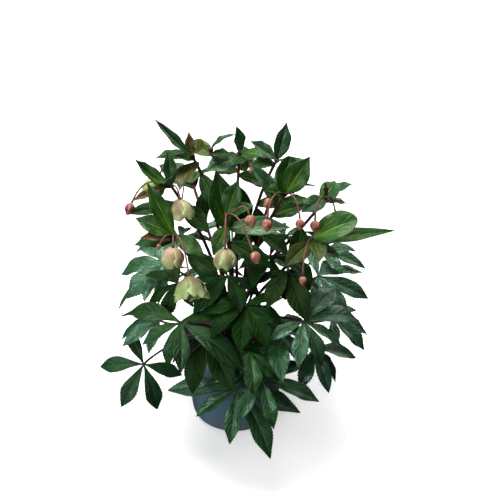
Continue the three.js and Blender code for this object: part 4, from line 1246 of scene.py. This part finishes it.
leaf_skins = [
    blade_material("leaflet", LEAF_COLOURS, 7.0, 0.28, 0.06, 0.3, (0.06, 0.7), (0.6, 1.0, 0.78)),
    stalk_material("petiole", (0.012, 0.012, 0.007), (0.03, 0.035, 0.014), (0.045, 0.02, 0.012)),
]
stem_skins = [
    blade_material("bract", BRACT_COLOURS, 5.0, 0.5, 0.15, 0.75, (0.08, 0.35), (0.8, 1.0, 0.65)),
    stalk_material("stem", (0.018, 0.008, 0.009), (0.06, 0.022, 0.018), (0.12, 0.034, 0.027)),
    stalk_material("pedicel", (0.09, 0.03, 0.026), (0.2, 0.085, 0.06), (0.24, 0.075, 0.062), 0.45),
]


def place(piece, node, slot, materials):
    made = piece.make("fine_" + node, materials)
    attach(made, "root")
    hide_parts(node)
    return made


for slot, grow, rows, azimuths, first_seat, skins in (
    ("leaf", grow_leaf, LEAVES, [row[0] for row in LEAVES], len(STEMS), leaf_skins),
    ("flower_stem", grow_stem, STEMS, [azimuth_of(row[0]) for row in STEMS], 0, stem_skins),
):
    seats = pair_seats(azimuths, first_seat)
    for i, row in enumerate(rows):
        name = f"{slot}_{i + 1:02}"
        place(grow(Grown(name), i, row, seats[i]), name, slot, skins)
for kind, grow, skins in (
    ("bloom", grow_bloom, [sepal_material(), stamen_material()]), ("bud", grow_bud, [bud_material()]),
):
    flowers = [flower for row in STEMS for flower in row[2] if flower[0] == kind]
    for i, (_, *seat, azimuth, elevation, size) in enumerate(flowers):
        flower = grow(i, np.array(seat, float), heading(azimuth, elevation), size)
        place(flower, f"{kind}_{i + 1:02}", kind, skins)
drain(place(make_pot(), "pot", "pot_plastic", [pot_material()]))
place(make_soil(), "soil", "compost", [compost_material()])

# ---- floor, light and camera
def make_floor():
    """A round sheet of pale paper, flat under the plant, that curves up into a tent round and over it."""
    reach, bend, roof = 4500, 1800, 5200
    profile = [(0, 0), *((reach * k / 6, 0) for k in range(1, 7)), *arc(reach, bend, bend, -80, 0, 9)]
    profile += [((reach + bend) * cos(a), bend + (roof - bend) * sin(a)) for a in np.linspace(0.1, 1.5, 12)]
    profile = np.array([*profile, (0, roof)])
    rings = polar(profile[:, :1], around(64), profile[:, 1:])
    piece = Piece()
    piece.add_lathed(rings, rings[..., :2] / roof, flip=True)
    return piece.make("floor", [floor_material()])


floor = make_floor()
# The tent is there to be looked at: it neither lights the plant nor keeps the room's light off it.
floor.visible_glossy = floor.visible_diffuse = floor.visible_shadow = False

# The room is bright overhead and dim near the floor.
world = bpy.data.worlds.new("studio")
bpy.context.scene.world = world
world.use_nodes = True
sky = world.node_tree.nodes
direction, height, glow = (sky.new("ShaderNode" + kind) for kind in ("TexCoord", "SeparateXYZ", "MapRange"))
for end, level in (("Min", 0.02), ("Max", 0.35)):
    glow.inputs["To " + end].default_value = level
for output, socket in (
    (direction.outputs["Generated"], height.inputs[0]), (height.outputs["Z"], glow.inputs["Value"]),
    (glow.outputs["Result"], sky["Background"].inputs["Strength"]),
):
    world.node_tree.links.new(output, socket)
sky["Background"].inputs["Color"].default_value = (0.98, 0.99, 1.0, 1.0)


def softbox(name, place, target, size, watts):
    light = bpy.data.lights.new(name, "AREA")
    light.shape, light.size, light.energy = "SQUARE", size, watts
    made = bpy.data.objects.new(name, light)
    made.location = np.array(place) * MM
    away = unit(np.array(place, float) - np.array(target, float))
    made.rotation_mode = "QUATERNION"
    made.rotation_quaternion = Vector(away).to_track_quat("Z", "Y")
    bpy.context.scene.collection.objects.link(made)


softbox("key", (-500, 700, 3000), (0, 200, 200), 2.0, 150)
softbox("front", (-1400, -1700, 1300), (0, 0, 200), 1.4, 38)
softbox("back", (1500, 1600, 1300), (0, 0, 200), 1.4, 16)

CAMERA_DOWN = 31.4  # degrees under level
SENSOR = 36
FOCAL_SHARE = 824 / 500  # the focal length as a share of the picture's width
camera = bpy.data.objects.new("camera", bpy.data.cameras.new("camera"))
camera.location = np.array([24, -1000, 900]) * MM
camera.rotation_euler = (radians(90 - CAMERA_DOWN), 0, 0)
camera.data.sensor_width = SENSOR
camera.data.lens = SENSOR * FOCAL_SHARE
bpy.context.scene.collection.objects.link(camera)
bpy.context.scene.camera = camera
bpy.context.scene.view_settings.view_transform = "Standard"
